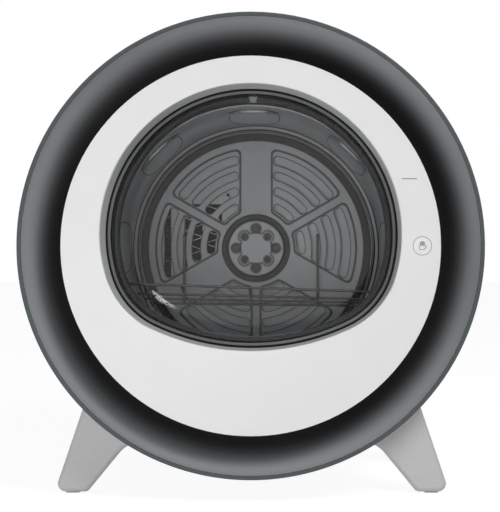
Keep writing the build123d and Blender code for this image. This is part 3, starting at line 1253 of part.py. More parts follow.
# Fan wheel on the rotor's rear end
with BuildPart() as fan_wheel:
    with BuildSketch(face_plane(FAN_FRONT + FAN_WIDTH - FAN_PLATE)):
        with Locations((MOTOR_X, MOTOR_Z)):
            Circle(FAN_R)
    extrude(amount=-FAN_PLATE)
    with BuildSketch(face_plane(FAN_FRONT)):
        with Locations((MOTOR_X, MOTOR_Z)):
            Circle(FAN_HUB_R)
            with PolarLocations((FAN_R + FAN_EYE_R) / 2, FAN_BLADES):
                Rectangle(FAN_R - FAN_EYE_R - 2, FAN_BLADE_THICK, rotation=FAN_BLADE_TURN)
    extrude(amount=-(FAN_WIDTH - FAN_PLATE))
    with BuildSketch(face_plane(FAN_FRONT)):
        with Locations((MOTOR_X, MOTOR_Z)):
            Circle(MOTOR_SHAFT_R)
    extrude(amount=-FAN_WIDTH, mode=Mode.SUBTRACT)
save(fan_wheel, "fan_wheel")

# Belt round the drum and the pulley
with BuildPart() as drum_belt:
    with BuildSketch(face_plane(BELT_FRONT)):
        add(two_circle_hull(BELT_DRUM_R + BELT_THICK / 2, BELT_PULLEY_R + BELT_THICK / 2, (MOTOR_X, MOTOR_Z)))
        add(
            two_circle_hull(BELT_DRUM_R - BELT_THICK / 2, BELT_PULLEY_R - BELT_THICK / 2, (MOTOR_X, MOTOR_Z)),
            mode=Mode.SUBTRACT,
        )
    extrude(amount=-BELT_WIDTH)
save(drum_belt, "drum_belt")

# Idler on the outside of the belt's right-hand run, on a sprung arm
with BuildPart() as idler_pulley:
    with BuildSketch(face_plane(IDLER_FRONT)):
        with Locations((IDLER_CENTRE.X, IDLER_CENTRE.Y)):
            Circle(IDLER_R)
            Circle(IDLER_AXLE_R + SHAFT_FIT, mode=Mode.SUBTRACT)
    extrude(amount=-IDLER_WIDTH)
save(idler_pulley, "idler_pulley")

with BuildPart() as idler_arm:
    with BuildSketch(face_plane(ARM_FRONT)):
        with Locations((IDLER_CENTRE.X, IDLER_CENTRE.Y), (PIVOT_CENTRE.X, PIVOT_CENTRE.Y)):
            Circle(IDLER_ARM_R)
        make_hull()
        with Locations((PIVOT_CENTRE.X, PIVOT_CENTRE.Y)):
            Circle(IDLER_POST_R + SHAFT_FIT, mode=Mode.SUBTRACT)
    extrude(amount=-IDLER_ARM_THICK)
    with BuildSketch(face_plane(ARM_FRONT)):
        with Locations((IDLER_CENTRE.X, IDLER_CENTRE.Y)):
            Circle(IDLER_AXLE_R)
    extrude(amount=IDLER_WIDTH + IDLER_ARM_GAP)
save(idler_arm, "idler_arm")

SPRING_FRONT = ARM_FRONT + IDLER_ARM_THICK + RUN_GAP
with BuildPart() as idler_spring:
    with BuildSketch(face_plane(SPRING_FRONT)):
        with Locations((PIVOT_CENTRE.X, PIVOT_CENTRE.Y)):
            Circle(IDLER_SPRING_R)
            Circle(IDLER_POST_R, mode=Mode.SUBTRACT)
    extrude(amount=-IDLER_SPRING_LENGTH)
save(idler_spring, "idler_spring")

# Duct from the lint filter down and back to the rear bulkhead
with BuildPart() as exhaust_duct:
    with BuildSketch(face_plane(BULKHEAD_BACK)):
        with Locations((0, -CASING_R / 2)):
            Rectangle(2 * DUCT_HALF, CASING_R)
        Circle(DUCT_R, mode=Mode.INTERSECT)
        add(window_face(MOUTH_INSET - PLATE - RUN_GAP), mode=Mode.SUBTRACT)
    extrude(amount=-(MOUTH_COLLAR_END - BULKHEAD_BACK))
    with BuildSketch(face_plane(BULKHEAD_BACK)):
        with Locations((0, DUCT_TOP - CASING_R / 2)):
            Rectangle(2 * DUCT_HALF, CASING_R)
        Circle(DUCT_R, mode=Mode.INTERSECT)
    extrude(amount=-(REAR_BULKHEAD - BULKHEAD_BACK))
    with BuildSketch(face_plane(BULKHEAD_BACK + DUCT_WALL)):
        with Locations((0, -CASING_R / 2)):
            Rectangle(2 * (DUCT_HALF - DUCT_WALL), CASING_R)
        Circle(DUCT_R - DUCT_WALL, mode=Mode.INTERSECT)
    extrude(amount=-(MOUTH_COLLAR_END - BULKHEAD_BACK - 2 * DUCT_WALL), mode=Mode.SUBTRACT)
    with BuildSketch(face_plane(BULKHEAD_BACK + DUCT_WALL)):
        with Locations((0, DUCT_TOP - DUCT_WALL - CASING_R / 2)):
            Rectangle(2 * (DUCT_HALF - DUCT_WALL), CASING_R)
        Circle(DUCT_R - DUCT_WALL, mode=Mode.INTERSECT)
    extrude(amount=-(REAR_BULKHEAD - BULKHEAD_BACK), mode=Mode.SUBTRACT)
save(exhaust_duct, "exhaust_duct")

# Lint filter cassette, flush with the floor of the mouth
with BuildPart() as lint_filter:
    with BuildSketch(face_plane(LINT_FRONT)):
        with Locations((0, (LINT_BOTTOM + LINT_TOP) / 2)):
            Rectangle(2 * LINT_HALF, LINT_TOP - LINT_BOTTOM)
        add(window_face(MOUTH_INSET), mode=Mode.SUBTRACT)
    extrude(amount=-LINT_THICK)
    lint_open_h = LINT_OPENING_TOP - LINT_BOTTOM - LINT_FRAME
    with BuildSketch(face_plane(LINT_FRONT)):
        with Locations((0, LINT_BOTTOM + LINT_FRAME + lint_open_h / 2)):
            Rectangle(2 * (LINT_HALF - LINT_FRAME), lint_open_h)
            with GridLocations(2 * (LINT_HALF - LINT_FRAME) / (LINT_BARS + 1), 0, LINT_BARS, 1):
                Rectangle(LINT_BAR, lint_open_h, mode=Mode.SUBTRACT)
    extrude(amount=-LINT_THICK, mode=Mode.SUBTRACT)
save(lint_filter, "lint_filter")

# Blower housing: a flat suction hood from the duct to the fan's eye, then the scroll to the hose
HOOD_DUCT_X = DUCT_HALF - HOOD_DUCT_R - DUCT_WALL
HOOD_DUCT_Z = DUCT_TOP - HOOD_DUCT_R - DUCT_WALL
SCROLL_END = CASING_END - RUN_GAP
with BuildPart() as blower_housing:
    with BuildSketch(face_plane(REAR_BULKHEAD_BACK)):
        with Locations((MOTOR_X, MOTOR_Z)):
            Circle(HOOD_R)
        with Locations((HOOD_DUCT_X, HOOD_DUCT_Z), (-HOOD_DUCT_X, HOOD_DUCT_Z)):
            Circle(HOOD_DUCT_R + DUCT_WALL)
        make_hull()
    extrude(amount=-(HOOD_END - REAR_BULKHEAD_BACK))
    with BuildSketch(face_plane(HOOD_END)):
        with Locations((MOTOR_X, MOTOR_Z)):
            Circle(SCROLL_R)
        with Locations((HOSE_X, HOSE_Z)):
            Circle(SCROLL_HOSE_R)
        make_hull()
    extrude(amount=-(SCROLL_END - HOOD_END))
    with BuildSketch(face_plane(REAR_BULKHEAD_BACK)):
        with Locations((MOTOR_X, MOTOR_Z)):
            Circle(HOOD_R - DUCT_WALL)
        with Locations((HOOD_DUCT_X, HOOD_DUCT_Z), (-HOOD_DUCT_X, HOOD_DUCT_Z)):
            Circle(HOOD_DUCT_R)
        make_hull()
    extrude(amount=-(HOOD_END - REAR_BULKHEAD_BACK - DUCT_WALL), mode=Mode.SUBTRACT)
    with BuildSketch(face_plane(HOOD_END + DUCT_WALL)):
        with Locations((MOTOR_X, MOTOR_Z)):
            Circle(SCROLL_R - DUCT_WALL)
        with Locations((HOSE_X, HOSE_Z)):
            Circle(SCROLL_HOSE_R - DUCT_WALL)
        make_hull()
    extrude(amount=-(SCROLL_END - HOOD_END - DUCT_WALL), mode=Mode.SUBTRACT)
    with BuildSketch(face_plane(REAR_BULKHEAD_BACK)):
        with Locations((MOTOR_X, MOTOR_Z)):
            Circle(FAN_EYE_R)
    extrude(amount=-(SCROLL_END - REAR_BULKHEAD_BACK), mode=Mode.SUBTRACT)
save(blower_housing, "blower_housing")

# Rear cover with louvres, the filter opening, the hose hole and the cord inlet
with BuildPart() as rear_cover:
    with BuildSketch(face_plane(CASING_END)):
        Circle(CASING_R)
    extrude(amount=-REAR_COVER)
    with BuildSketch(face_plane(CASING_END)):
        Circle(BULKHEAD_R)
        Circle(BULKHEAD_R - COVER_SPIGOT_WALL, mode=Mode.SUBTRACT)
    extrude(amount=COVER_SPIGOT)
    with BuildSketch(face_plane(CASING_END)):
        with Locations((HOSE_X, HOSE_Z)):
            Circle(HOSE_R - HOSE_WALL)
        with Locations((DUCT_BOX_X, DUCT_BOX_Z)):
            Rectangle(FILTER_W + 2 * FILTER_GAP, FILTER_H + 2 * FILTER_GAP)
        with Locations((GLAND_X, GLAND_Z)):
            Circle(GLAND_R)
        for louvre in range(LOUVRE_COUNT):
            with Locations((0, LOUVRE_TOP - louvre * LOUVRE_PITCH)):
                SlotOverall(LOUVRE_LENGTH, LOUVRE_WIDTH)
    extrude(amount=-REAR_COVER, mode=Mode.SUBTRACT)
    for index in range(COVER_SCREW_COUNT):
        turn = (index + 0.5) * 360 / COVER_SCREW_COUNT
        screw_x, screw_z = on_circle(CASING_R - 4 * SHEET, turn)
        screw_start = place(screw_x, CASING_END - COVER_SCREW_INSET, screw_z)
        with BuildSketch(Plane(origin=screw_start, z_dir=Vector(screw_x, 0, screw_z))):
            Circle(SCREW_R)
        extrude(amount=4 * SHEET, mode=Mode.SUBTRACT)
save(rear_cover, "rear_cover")

# Collar for a 100 mm hose
with BuildPart() as exhaust_collar:
    with BuildSketch(face_plane(BODY_DEPTH)):
        with Locations((HOSE_X, HOSE_Z)):
            Circle(HOSE_FLANGE_R)
    extrude(amount=-HOSE_FLANGE_THICK)
    with BuildSketch(face_plane(BODY_DEPTH)):
        with Locations((HOSE_X, HOSE_Z)):
            Circle(HOSE_R)
    extrude(amount=-HOSE_COLLAR_LENGTH)
    with BuildSketch(face_plane(BODY_DEPTH)):
        with Locations((HOSE_X, HOSE_Z)):
            Circle(HOSE_R - HOSE_WALL)
    extrude(amount=-HOSE_COLLAR_LENGTH, mode=Mode.SUBTRACT)
save(exhaust_collar, "exhaust_collar")

# Cord inlet in the rear cover
with BuildPart() as cord_gland:
    with BuildSketch(face_plane(CASING_END - GLAND_IN)):
        with Locations((GLAND_X, GLAND_Z)):
            Circle(GLAND_R)
    extrude(amount=-(REAR_COVER + GLAND_IN))
    with BuildSketch(face_plane(BODY_DEPTH)):
        with Locations((GLAND_X, GLAND_Z)):
            Circle(GLAND_R + GLAND_FLANGE)
    extrude(amount=-GLAND_OUT)
    with BuildSketch(face_plane(CASING_END - GLAND_IN)):
        with Locations((GLAND_X, GLAND_Z)):
            Circle(GLAND_BORE_R)
    extrude(amount=-(REAR_COVER + GLAND_IN + GLAND_OUT), mode=Mode.SUBTRACT)
save(cord_gland, "cord_gland")

# Controls: a tray in the casing's flat, the timer with its knob, a button and its board
PANEL_UNDER = PANEL_TOP - PANEL_THICK
PANEL_START = PANEL_FRONT + PANEL_GAP
PANEL_LENGTH = PANEL_BACK - PANEL_FRONT - 2 * PANEL_GAP
with BuildPart() as control_panel:
    with BuildSketch(face_plane(PANEL_START)):
        Circle(CASING_R)
        with Locations((0, PANEL_UNDER + RING_R / 2)):
            Rectangle(2 * (PANEL_HALF - PANEL_GAP), RING_R, mode=Mode.INTERSECT)
    extrude(amount=-PANEL_LENGTH)
    with BuildSketch(level_plane(PANEL_TOP)):
        with Locations((0, CONTROL_DEPTH)):
            Rectangle(2 * PANEL_HALF, PANEL_LENGTH - 2 * PANEL_END_WALL)
    extrude(amount=RING_R - PANEL_TOP, mode=Mode.SUBTRACT)
    with BuildSketch(level_plane(PANEL_UNDER)):
        with Locations((KNOB_X, CONTROL_DEPTH)):
            Circle(KNOB_SHAFT_R + RUN_GAP)
        with Locations((BUTTON_X, CONTROL_DEPTH)):
            Circle(BUTTON_R + RUN_GAP)
    extrude(amount=PANEL_THICK, mode=Mode.SUBTRACT)
save(control_panel, "control_panel")

with BuildPart() as timer_unit:
    with BuildSketch(level_plane(PANEL_UNDER)):
        with Locations((KNOB_X, CONTROL_DEPTH)):
            RectangleRounded(TIMER_SIZE, TIMER_SIZE, TIMER_CORNER_R)
    extrude(amount=-TIMER_HEIGHT)
    with BuildSketch(level_plane(PANEL_UNDER)):
        with Locations((KNOB_X, CONTROL_DEPTH)):
            Circle(KNOB_SHAFT_R + SHAFT_FIT)
    extrude(amount=-(TIMER_HEIGHT - TIMER_FLOOR), mode=Mode.SUBTRACT)
save(timer_unit, "timer_unit")

with BuildPart() as timer_knob:
    with BuildSketch(level_plane(PANEL_TOP + RUN_GAP)):
        with Locations((KNOB_X, CONTROL_DEPTH)):
            Circle(KNOB_R)
    extrude(amount=KNOB_HEIGHT, taper=KNOB_TAPER)
    knob_top = timer_knob.faces().sort_by(Axis.Z)[-1]
    fillet(knob_top.edges(), KNOB_EDGE_R)
    with BuildSketch(level_plane(PANEL_TOP + RUN_GAP)):
        with Locations((KNOB_X, CONTROL_DEPTH)):
            Circle(KNOB_SHAFT_R)
    extrude(amount=-(PANEL_THICK + TIMER_HEIGHT - TIMER_FLOOR - KNOB_END_GAP))
save(timer_knob, "timer_knob")

BUTTON_FLANGE_TOP = PANEL_UNDER - RUN_GAP
with BuildPart() as start_button:
    with BuildSketch(level_plane(BUTTON_FLANGE_TOP)):
        with Locations((BUTTON_X, CONTROL_DEPTH)):
            Circle(BUTTON_R)
    extrude(amount=PANEL_THICK + RUN_GAP + BUTTON_STAND)
    button_top = start_button.faces().sort_by(Axis.Z)[-1]
    fillet(button_top.edges(), BUTTON_EDGE_R)
    with BuildSketch(level_plane(BUTTON_FLANGE_TOP)):
        with Locations((BUTTON_X, CONTROL_DEPTH)):
            Circle(BUTTON_R + BUTTON_FLANGE_OUT)
    extrude(amount=-BUTTON_FLANGE)
save(start_button, "start_button")

BOARD_TOP = BUTTON_FLANGE_TOP - BUTTON_FLANGE - BUTTON_TRAVEL - RUN_GAP
SHORE_HEIGHT = PANEL_UNDER - BOARD_TOP
with BuildPart() as control_board:
    with BuildSketch(level_plane(BOARD_TOP)):
        with Locations((BUTTON_X, CONTROL_DEPTH)):
            Rectangle(BOARD_WIDTH, BOARD_LENGTH)
    extrude(amount=-BOARD_THICK)
    with BuildSketch(level_plane(BOARD_TOP)):
        with Locations((BUTTON_X, CONTROL_DEPTH)):
            with GridLocations(BOARD_WIDTH - 2 * BOARD_POST_INSET, BOARD_LENGTH - 2 * BOARD_POST_INSET, 2, 2):
                Circle(BOARD_POST_R)
    extrude(amount=SHORE_HEIGHT)
save(control_board, "control_board")

# Screws round the rear cover and up into the legs
with BuildPart() as casing_screws:
    for index in range(COVER_SCREW_COUNT):
        turn = (index + 0.5) * 360 / COVER_SCREW_COUNT
        screw_x, screw_z = on_circle(CASING_R, turn)
        seat = place(screw_x, CASING_END - COVER_SCREW_INSET, screw_z)
        with BuildSketch(Plane(origin=seat, z_dir=Vector(screw_x, 0, screw_z))):
            Circle(SCREW_HEAD_R)
        extrude(amount=SCREW_HEAD_THICK)
        with BuildSketch(Plane(origin=seat, z_dir=Vector(screw_x, 0, screw_z))):
            Circle(SCREW_R)
        extrude(amount=-3 * SHEET)
    for leg_depth in (LEG_FRONT_DEPTH, LEG_REAR_DEPTH):
        for turn in (LEG_SCREW_ANGLE, 180 - LEG_SCREW_ANGLE):
            screw_x, screw_z = on_circle(CASING_INNER_R - SHAFT_FIT, turn)
            seat = place(screw_x, leg_depth + LEG_SCREW_SHIFT, screw_z)
            with BuildSketch(Plane(origin=seat, z_dir=Vector(screw_x, 0, screw_z))):
                Circle(SCREW_HEAD_R)
            extrude(amount=-SCREW_HEAD_THICK)
            with BuildSketch(Plane(origin=seat, z_dir=Vector(screw_x, 0, screw_z))):
                Circle(SCREW_R)
            extrude(amount=SCREW_BITE)
save(casing_screws, "casing_screws")

# Four legs, each with a saddle that fits the casing
LEG_BOTTOM = -AXIS_HEIGHT + PAD_RUBBER
LEG_TOP = on_circle(CASING_R - LEG_TOP_LAP, LEG_TOP_ANGLE)
LEG_KNEE = on_circle(CASING_R + LEG_KNEE_OUT, LEG_KNEE_ANGLE)
LEG_TOE = on_circle(CASING_R + LEG_TOE_OUT, LEG_TOE_ANGLE)
LEG_FOOT_OUT_X = LEG_TOP[0] + LEG_SPLAY
LEG_FOOT_IN_X = LEG_FOOT_OUT_X - LEG_FOOT_WIDTH
LEG_START = {"front": LEG_FRONT_DEPTH - LEG_WIDTH / 2, "rear": LEG_REAR_DEPTH - LEG_WIDTH / 2}
for end, leg_start in LEG_START.items():
    for hand, sign in (("right", 1), ("left", -1)):
        with BuildPart() as leg:
            with BuildSketch(face_plane(leg_start)):
                knee_line = (LEG_KNEE[0] - LEG_FOOT_IN_X, LEG_KNEE[1] - LEG_BOTTOM)
                with BuildLine():
                    Polyline(
                        LEG_TOE,
                        on_circle(CASING_R - LEG_SADDLE_LAP, LEG_TOE_ANGLE),
                        LEG_TOP,
                        (LEG_FOOT_OUT_X, LEG_BOTTOM),
                        (LEG_FOOT_IN_X, LEG_BOTTOM),
                        LEG_KNEE,
                    )
                    TangentArc(LEG_KNEE, LEG_TOE, tangent=knee_line)
                make_face()
                Circle(CASING_R + LEG_GAP, mode=Mode.SUBTRACT)
            extrude(amount=-LEG_WIDTH)
            foot_edges = leg.edges().filter_by(Axis.Y).group_by(Axis.Z)[0]
            fillet(foot_edges.sort_by(Axis.X)[-1], LEG_FOOT_R)
            foot_edges = leg.edges().filter_by(Axis.Y).group_by(Axis.Z)[0]
            fillet(foot_edges.sort_by(Axis.X)[0], LEG_FOOT_IN_R)
            side_edges = leg.edges().filter_by(lambda e: is_leg_rim(e, leg_start))
            fillet(side_edges, LEG_EDGE_R)
            screw_x, screw_z = on_circle(CASING_INNER_R, LEG_SCREW_ANGLE)
            seat = place(screw_x, leg_start + LEG_WIDTH / 2 + LEG_SCREW_SHIFT, screw_z)
            with BuildSketch(Plane(origin=seat, z_dir=Vector(screw_x, 0, screw_z))):
                Circle(SCREW_R)
            extrude(amount=SCREW_BITE + 1, mode=Mode.SUBTRACT)
            if sign < 0:
                mirror(about=Plane.YZ, mode=Mode.REPLACE)
        save(leg, f"leg_{end}_{hand}")

PAD_X = (LEG_FOOT_IN_X + LEG_FOOT_IN_R + LEG_FOOT_OUT_X - LEG_FOOT_R) / 2
with BuildPart() as foot_pads:
    with BuildSketch(level_plane(-AXIS_HEIGHT)):
        for leg_depth in (LEG_FRONT_DEPTH, LEG_REAR_DEPTH):
            with Locations((PAD_X, leg_depth), (-PAD_X, leg_depth)):
                RectangleRounded(PAD_RUBBER_X, PAD_RUBBER_Y, PAD_RUBBER_CORNER_R)
    extrude(amount=PAD_RUBBER)
save(foot_pads, "foot_pads")
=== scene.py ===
"""Looks of a compact round tumble dryer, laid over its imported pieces. Metres, +Z up, the door faces -Y."""

import logging
import math
import random
from dataclasses import dataclass
from enum import Enum
from typing import Dict, Iterable, List, Sequence, Tuple, Union

import bmesh
import bpy
from mathutils import Matrix, Vector


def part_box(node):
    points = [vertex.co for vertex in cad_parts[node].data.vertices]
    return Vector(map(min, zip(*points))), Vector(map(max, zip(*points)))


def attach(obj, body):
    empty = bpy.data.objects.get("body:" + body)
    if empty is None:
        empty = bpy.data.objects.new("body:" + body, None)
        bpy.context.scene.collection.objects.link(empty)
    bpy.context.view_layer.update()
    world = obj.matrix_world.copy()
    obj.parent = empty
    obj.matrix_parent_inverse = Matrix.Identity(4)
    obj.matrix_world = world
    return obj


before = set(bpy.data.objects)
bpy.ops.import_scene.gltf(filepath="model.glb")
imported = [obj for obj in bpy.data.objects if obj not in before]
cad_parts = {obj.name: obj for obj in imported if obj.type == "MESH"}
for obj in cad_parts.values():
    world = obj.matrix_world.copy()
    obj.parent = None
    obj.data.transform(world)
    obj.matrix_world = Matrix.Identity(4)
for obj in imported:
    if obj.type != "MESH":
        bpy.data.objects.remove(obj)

LOG = logging.getLogger("tumble_dryer")
MM = 0.001
FRONT_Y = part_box("rim_trim")[0].y
AXIS_Z = (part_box("rim_trim")[0].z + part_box("rim_trim")[1].z) / 2
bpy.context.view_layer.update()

Colour = Tuple[float, float, float]
Point = Tuple[float, float, float]
Span = Tuple[float, float]
Socket = bpy.types.NodeSocket

# Noise seldom leaves this span.
NOISE_SPAN: Span = (0.3, 0.7)
# Openness of a point from a deep groove to a free face, and from a cut edge to a free face.
GROOVE_SPAN: Span = (0.6, 0.96)
EDGE_SPAN: Span = (0.7, 0.98)
GROOVE_SAMPLES = 6
EDGE_SAMPLES = 8
BEVEL_SAMPLES = 4
# Colours of the painted shade in grooves and along cut edges, and how much of it a cut edge takes.
GROOVE_SHADE_COLOUR: Colour = (0.006, 0.006, 0.006)
EDGE_SHADE_COLOUR: Colour = (0.01, 0.01, 0.01)
EDGE_SHADE_SHARE = 0.85
BLACK: Colour = (0.0, 0.0, 0.0)
# Patches per metre and octaves of the slow changes of tone and gloss, and of the fine speckle.
PATCH_SCALE, PATCH_DETAIL = 22.0, 4.0
GLOSS_SCALE, GLOSS_DETAIL = 35.0, 3.0
GRAIN_SCALE, GRAIN_DETAIL = 1600.0, 1.0
GLOSS_LOW, GLOSS_HIGH = 0.88, 1.12
COAT_ROUGHNESS = 0.08
BUMP_STRENGTH = 0.6
# How far each relief is drawn out: turned lines round the axis, rolled lines and fibres along the depth.
TURNED_PULL = 0.004
ROLLED_PULL: Point = (1.0, 0.03, 1.0)
FIBRE_PULL: Point = (1.0, 2.5, 1.0)
LINE_DETAIL = 3.0
FIBRE_DETAIL = 8.0
SURFACE_DETAIL = 2.0


class Body(Enum):
    """The bodies that the added pieces ride on."""

    CABINET = "cabinet"
    DOOR = "door"
    DRUM = "drum"
    KNOB = "knob"


class Relief(Enum):
    """The fine relief of a surface."""

    NONE = "none"
    GRAIN = "grain"
    PEEL = "peel"
    FIBRE = "fibre"
    TURNED = "turned"
    ROLLED = "rolled"


class NodeCanvas:
    """The node tree of a material or a world, with short calls to add and link nodes."""

    def __init__(self, owner: Union[bpy.types.Material, bpy.types.World]) -> None:
        """Starts an empty tree.

        Args:
            owner: the material or world that the tree shades.
        """
        owner.use_nodes = True
        self.tree = owner.node_tree
        self.tree.nodes.clear()

    def add(self, kind: str, **settings: object) -> bpy.types.Node:
        """Adds a node and sets its properties.

        Args:
            kind: the node's type without the ShaderNode prefix.
            **settings: properties of the node by name.

        Returns:
            The new node.
        """
        node = self.tree.nodes.new("ShaderNode" + kind)
        for key, value in settings.items():
            setattr(node, key, value)
        return node

    def link(self, source: Socket, target: Socket) -> None:
        """Links an output to an input."""
        self.tree.links.new(source, target)

    def math(self, operation: str, first: object, second: object = 0.0) -> Socket:
        """Adds a maths node.

        Args:
            operation: the operation's name.
            first: a number or an output.
            second: a number or an output.

        Returns:
            The node's result.
        """
        node = self.add("Math", operation=operation)
        for socket, value in zip(node.inputs, (first, second)):
            if isinstance(value, Socket):
                self.link(value, socket)
            else:
                socket.default_value = value
        return node.outputs[0]

    def place(self) -> Socket:
        """The point of the surface in the machine's own frame, in metres."""
        return self.add("TexCoord").outputs["Object"]

    def stretched(self, scale: Point) -> Socket:
        """Scales the point of the surface.

        Args:
            scale: what each coordinate is multiplied by.

        Returns:
            The scaled point.
        """
        mapping = self.add("Mapping")
        mapping.inputs["Scale"].default_value = scale
        self.link(self.place(), mapping.inputs["Vector"])
        return mapping.outputs[0]

    def noise(self, scale: float, detail: float, where: Socket) -> Socket:
        """Noise over the surface.

        Args:
            scale: patches per metre.
            detail: octaves.
            where: the coordinates.

        Returns:
            The noise, about 0.5 on average.
        """
        node = self.add("TexNoise")
        node.inputs["Scale"].default_value = scale
        node.inputs["Detail"].default_value = detail
        self.link(where, node.inputs["Vector"])
        return node.outputs["Fac"]

    def remap(self, source: Socket, span: Span, target: Span) -> Socket:
        """Maps an output from one range to another and stops at its ends.

        Args:
            source: the output.
            span: the two values it comes from.
            target: the two values it goes to.

        Returns:
            The mapped output.
        """
        node = self.add("MapRange")
        for label, value in zip(("From Min", "From Max", "To Min", "To Max"), (*span, *target)):
            node.inputs[label].default_value = value
        self.link(source, node.inputs["Value"])
        return node.outputs[0]

    def ranged(self, source: Socket, low: float, high: float) -> Socket:
        """Maps noise to the range from low to high."""
        return self.remap(source, NOISE_SPAN, (low, high))

    def mix(self, share: Socket, first: Colour, second: Colour) -> Socket:
        """Blends two colours by an output's value.

        Args:
            share: 0 for the first colour, 1 for the second.
            first: linear colour.
            second: linear colour.

        Returns:
            The blended colour.
        """
        node = self.add("Mix", data_type="RGBA")
        node.inputs["A"].default_value = (*first, 1.0)
        node.inputs["B"].default_value = (*second, 1.0)
        self.link(share, node.inputs["Factor"])
        return node.outputs["Result"]

    def ramp(self, share: Socket, stops: Sequence[Tuple[float, Colour]]) -> Socket:
        """Runs through several colours by an output's value.

        Args:
            share: the value, 0 to 1.
            stops: places from 0 to 1, in order, with their linear colours.

        Returns:
            The colour.
        """
        node = self.add("ValToRGB")
        elements = node.color_ramp.elements
        elements[0].color = (*stops[0][1], 1.0)
        elements[-1].color = (*stops[-1][1], 1.0)
        for place, colour in stops[1:-1]:
            elements.new(place).color = (*colour, 1.0)
        self.link(share, node.inputs["Fac"])
        return node.outputs["Color"]

    def blended(self, share: Socket, first: Socket, second: Colour) -> Socket:
        """Blends an output's colour towards a plain colour.

        Args:
            share: 0 for the output's colour, 1 for the plain one.
            first: the output with the colour.
            second: linear plain colour.

        Returns:
            The blended colour.
        """
        node = self.add("Mix", data_type="RGBA")
        node.inputs["B"].default_value = (*second, 1.0)
        self.link(first, node.inputs["A"])
        self.link(share, node.inputs["Factor"])
        return node.outputs["Result"]

    def closed_in(self, reach: float, span: Span, samples: int, inside: bool) -> Socket:
        """How much the piece's own faces close in on a point.

        Args:
            reach: distance in metres within which faces count.
            span: openness that counts as closed in, and openness that counts as free.
            samples: rays that are sent out.
            inside: whether they go into the solid, which finds cut edges, or out of it, which finds grooves.

        Returns:
            1 where the point is closed in, 0 where it is free.
        """
        openness = self.add("AmbientOcclusion", samples=samples, only_local=True, inside=inside)
        openness.inputs["Distance"].default_value = reach
        return self.remap(openness.outputs["AO"], span, (1.0, 0.0))

    def polar(self) -> Tuple[Socket, Socket, Socket]:
        """Finds where a point lies round the drum.

        Returns:
            Distance from the drum axis, angle round it and place along it.
        """
        parts = self.add("SeparateXYZ")
        self.link(self.place(), parts.inputs[0])
        height = self.math("SUBTRACT", parts.outputs["Z"], AXIS_Z)
        squares = self.math("ADD", self.math("MULTIPLY", parts.outputs["X"], parts.outputs["X"]),
                            self.math("MULTIPLY", height, height))
        angle = self.math("ARCTAN2", height, parts.outputs["X"])
        return self.math("SQRT", squares), angle, parts.outputs["Y"]

    def show(self, shader: bpy.types.Node, output: str = "OutputMaterial") -> None:
        """Makes a shader the one that the material or world shows."""
        self.link(shader.outputs[0], self.add(output).inputs["Surface"])

    def show_either(self, share: Socket, first: bpy.types.Node, second: bpy.types.Node,
                    output: str = "OutputMaterial") -> None:
        """Shows a blend of two shaders.

        Args:
            share: 0 for the first shader, 1 for the second.
            first: the first shader.
            second: the second shader.
            output: the output node's type without the ShaderNode prefix.
        """
        blend = self.add("MixShader")
        self.link(share, blend.inputs["Fac"])
        self.link(first.outputs[0], blend.inputs[1])
        self.link(second.outputs[0], blend.inputs[2])
        self.show(blend, output)


@dataclass(frozen=True)
class Dressing:
    """What every finish shares.

    Attributes:
        name: the material's name.
    """

    name: str

    def fill(self, canvas: NodeCanvas) -> None:
        """Builds the nodes in the material's empty tree."""

    def material(self) -> bpy.types.Material:
        """The finish's material, made once and shared.

        Returns:
            The material.
        """
        label = self.name + "_finish"
        made = bpy.data.materials.get(label)
        if not made:
            made = bpy.data.materials.new(label)
            self.fill(NodeCanvas(made))
        return made


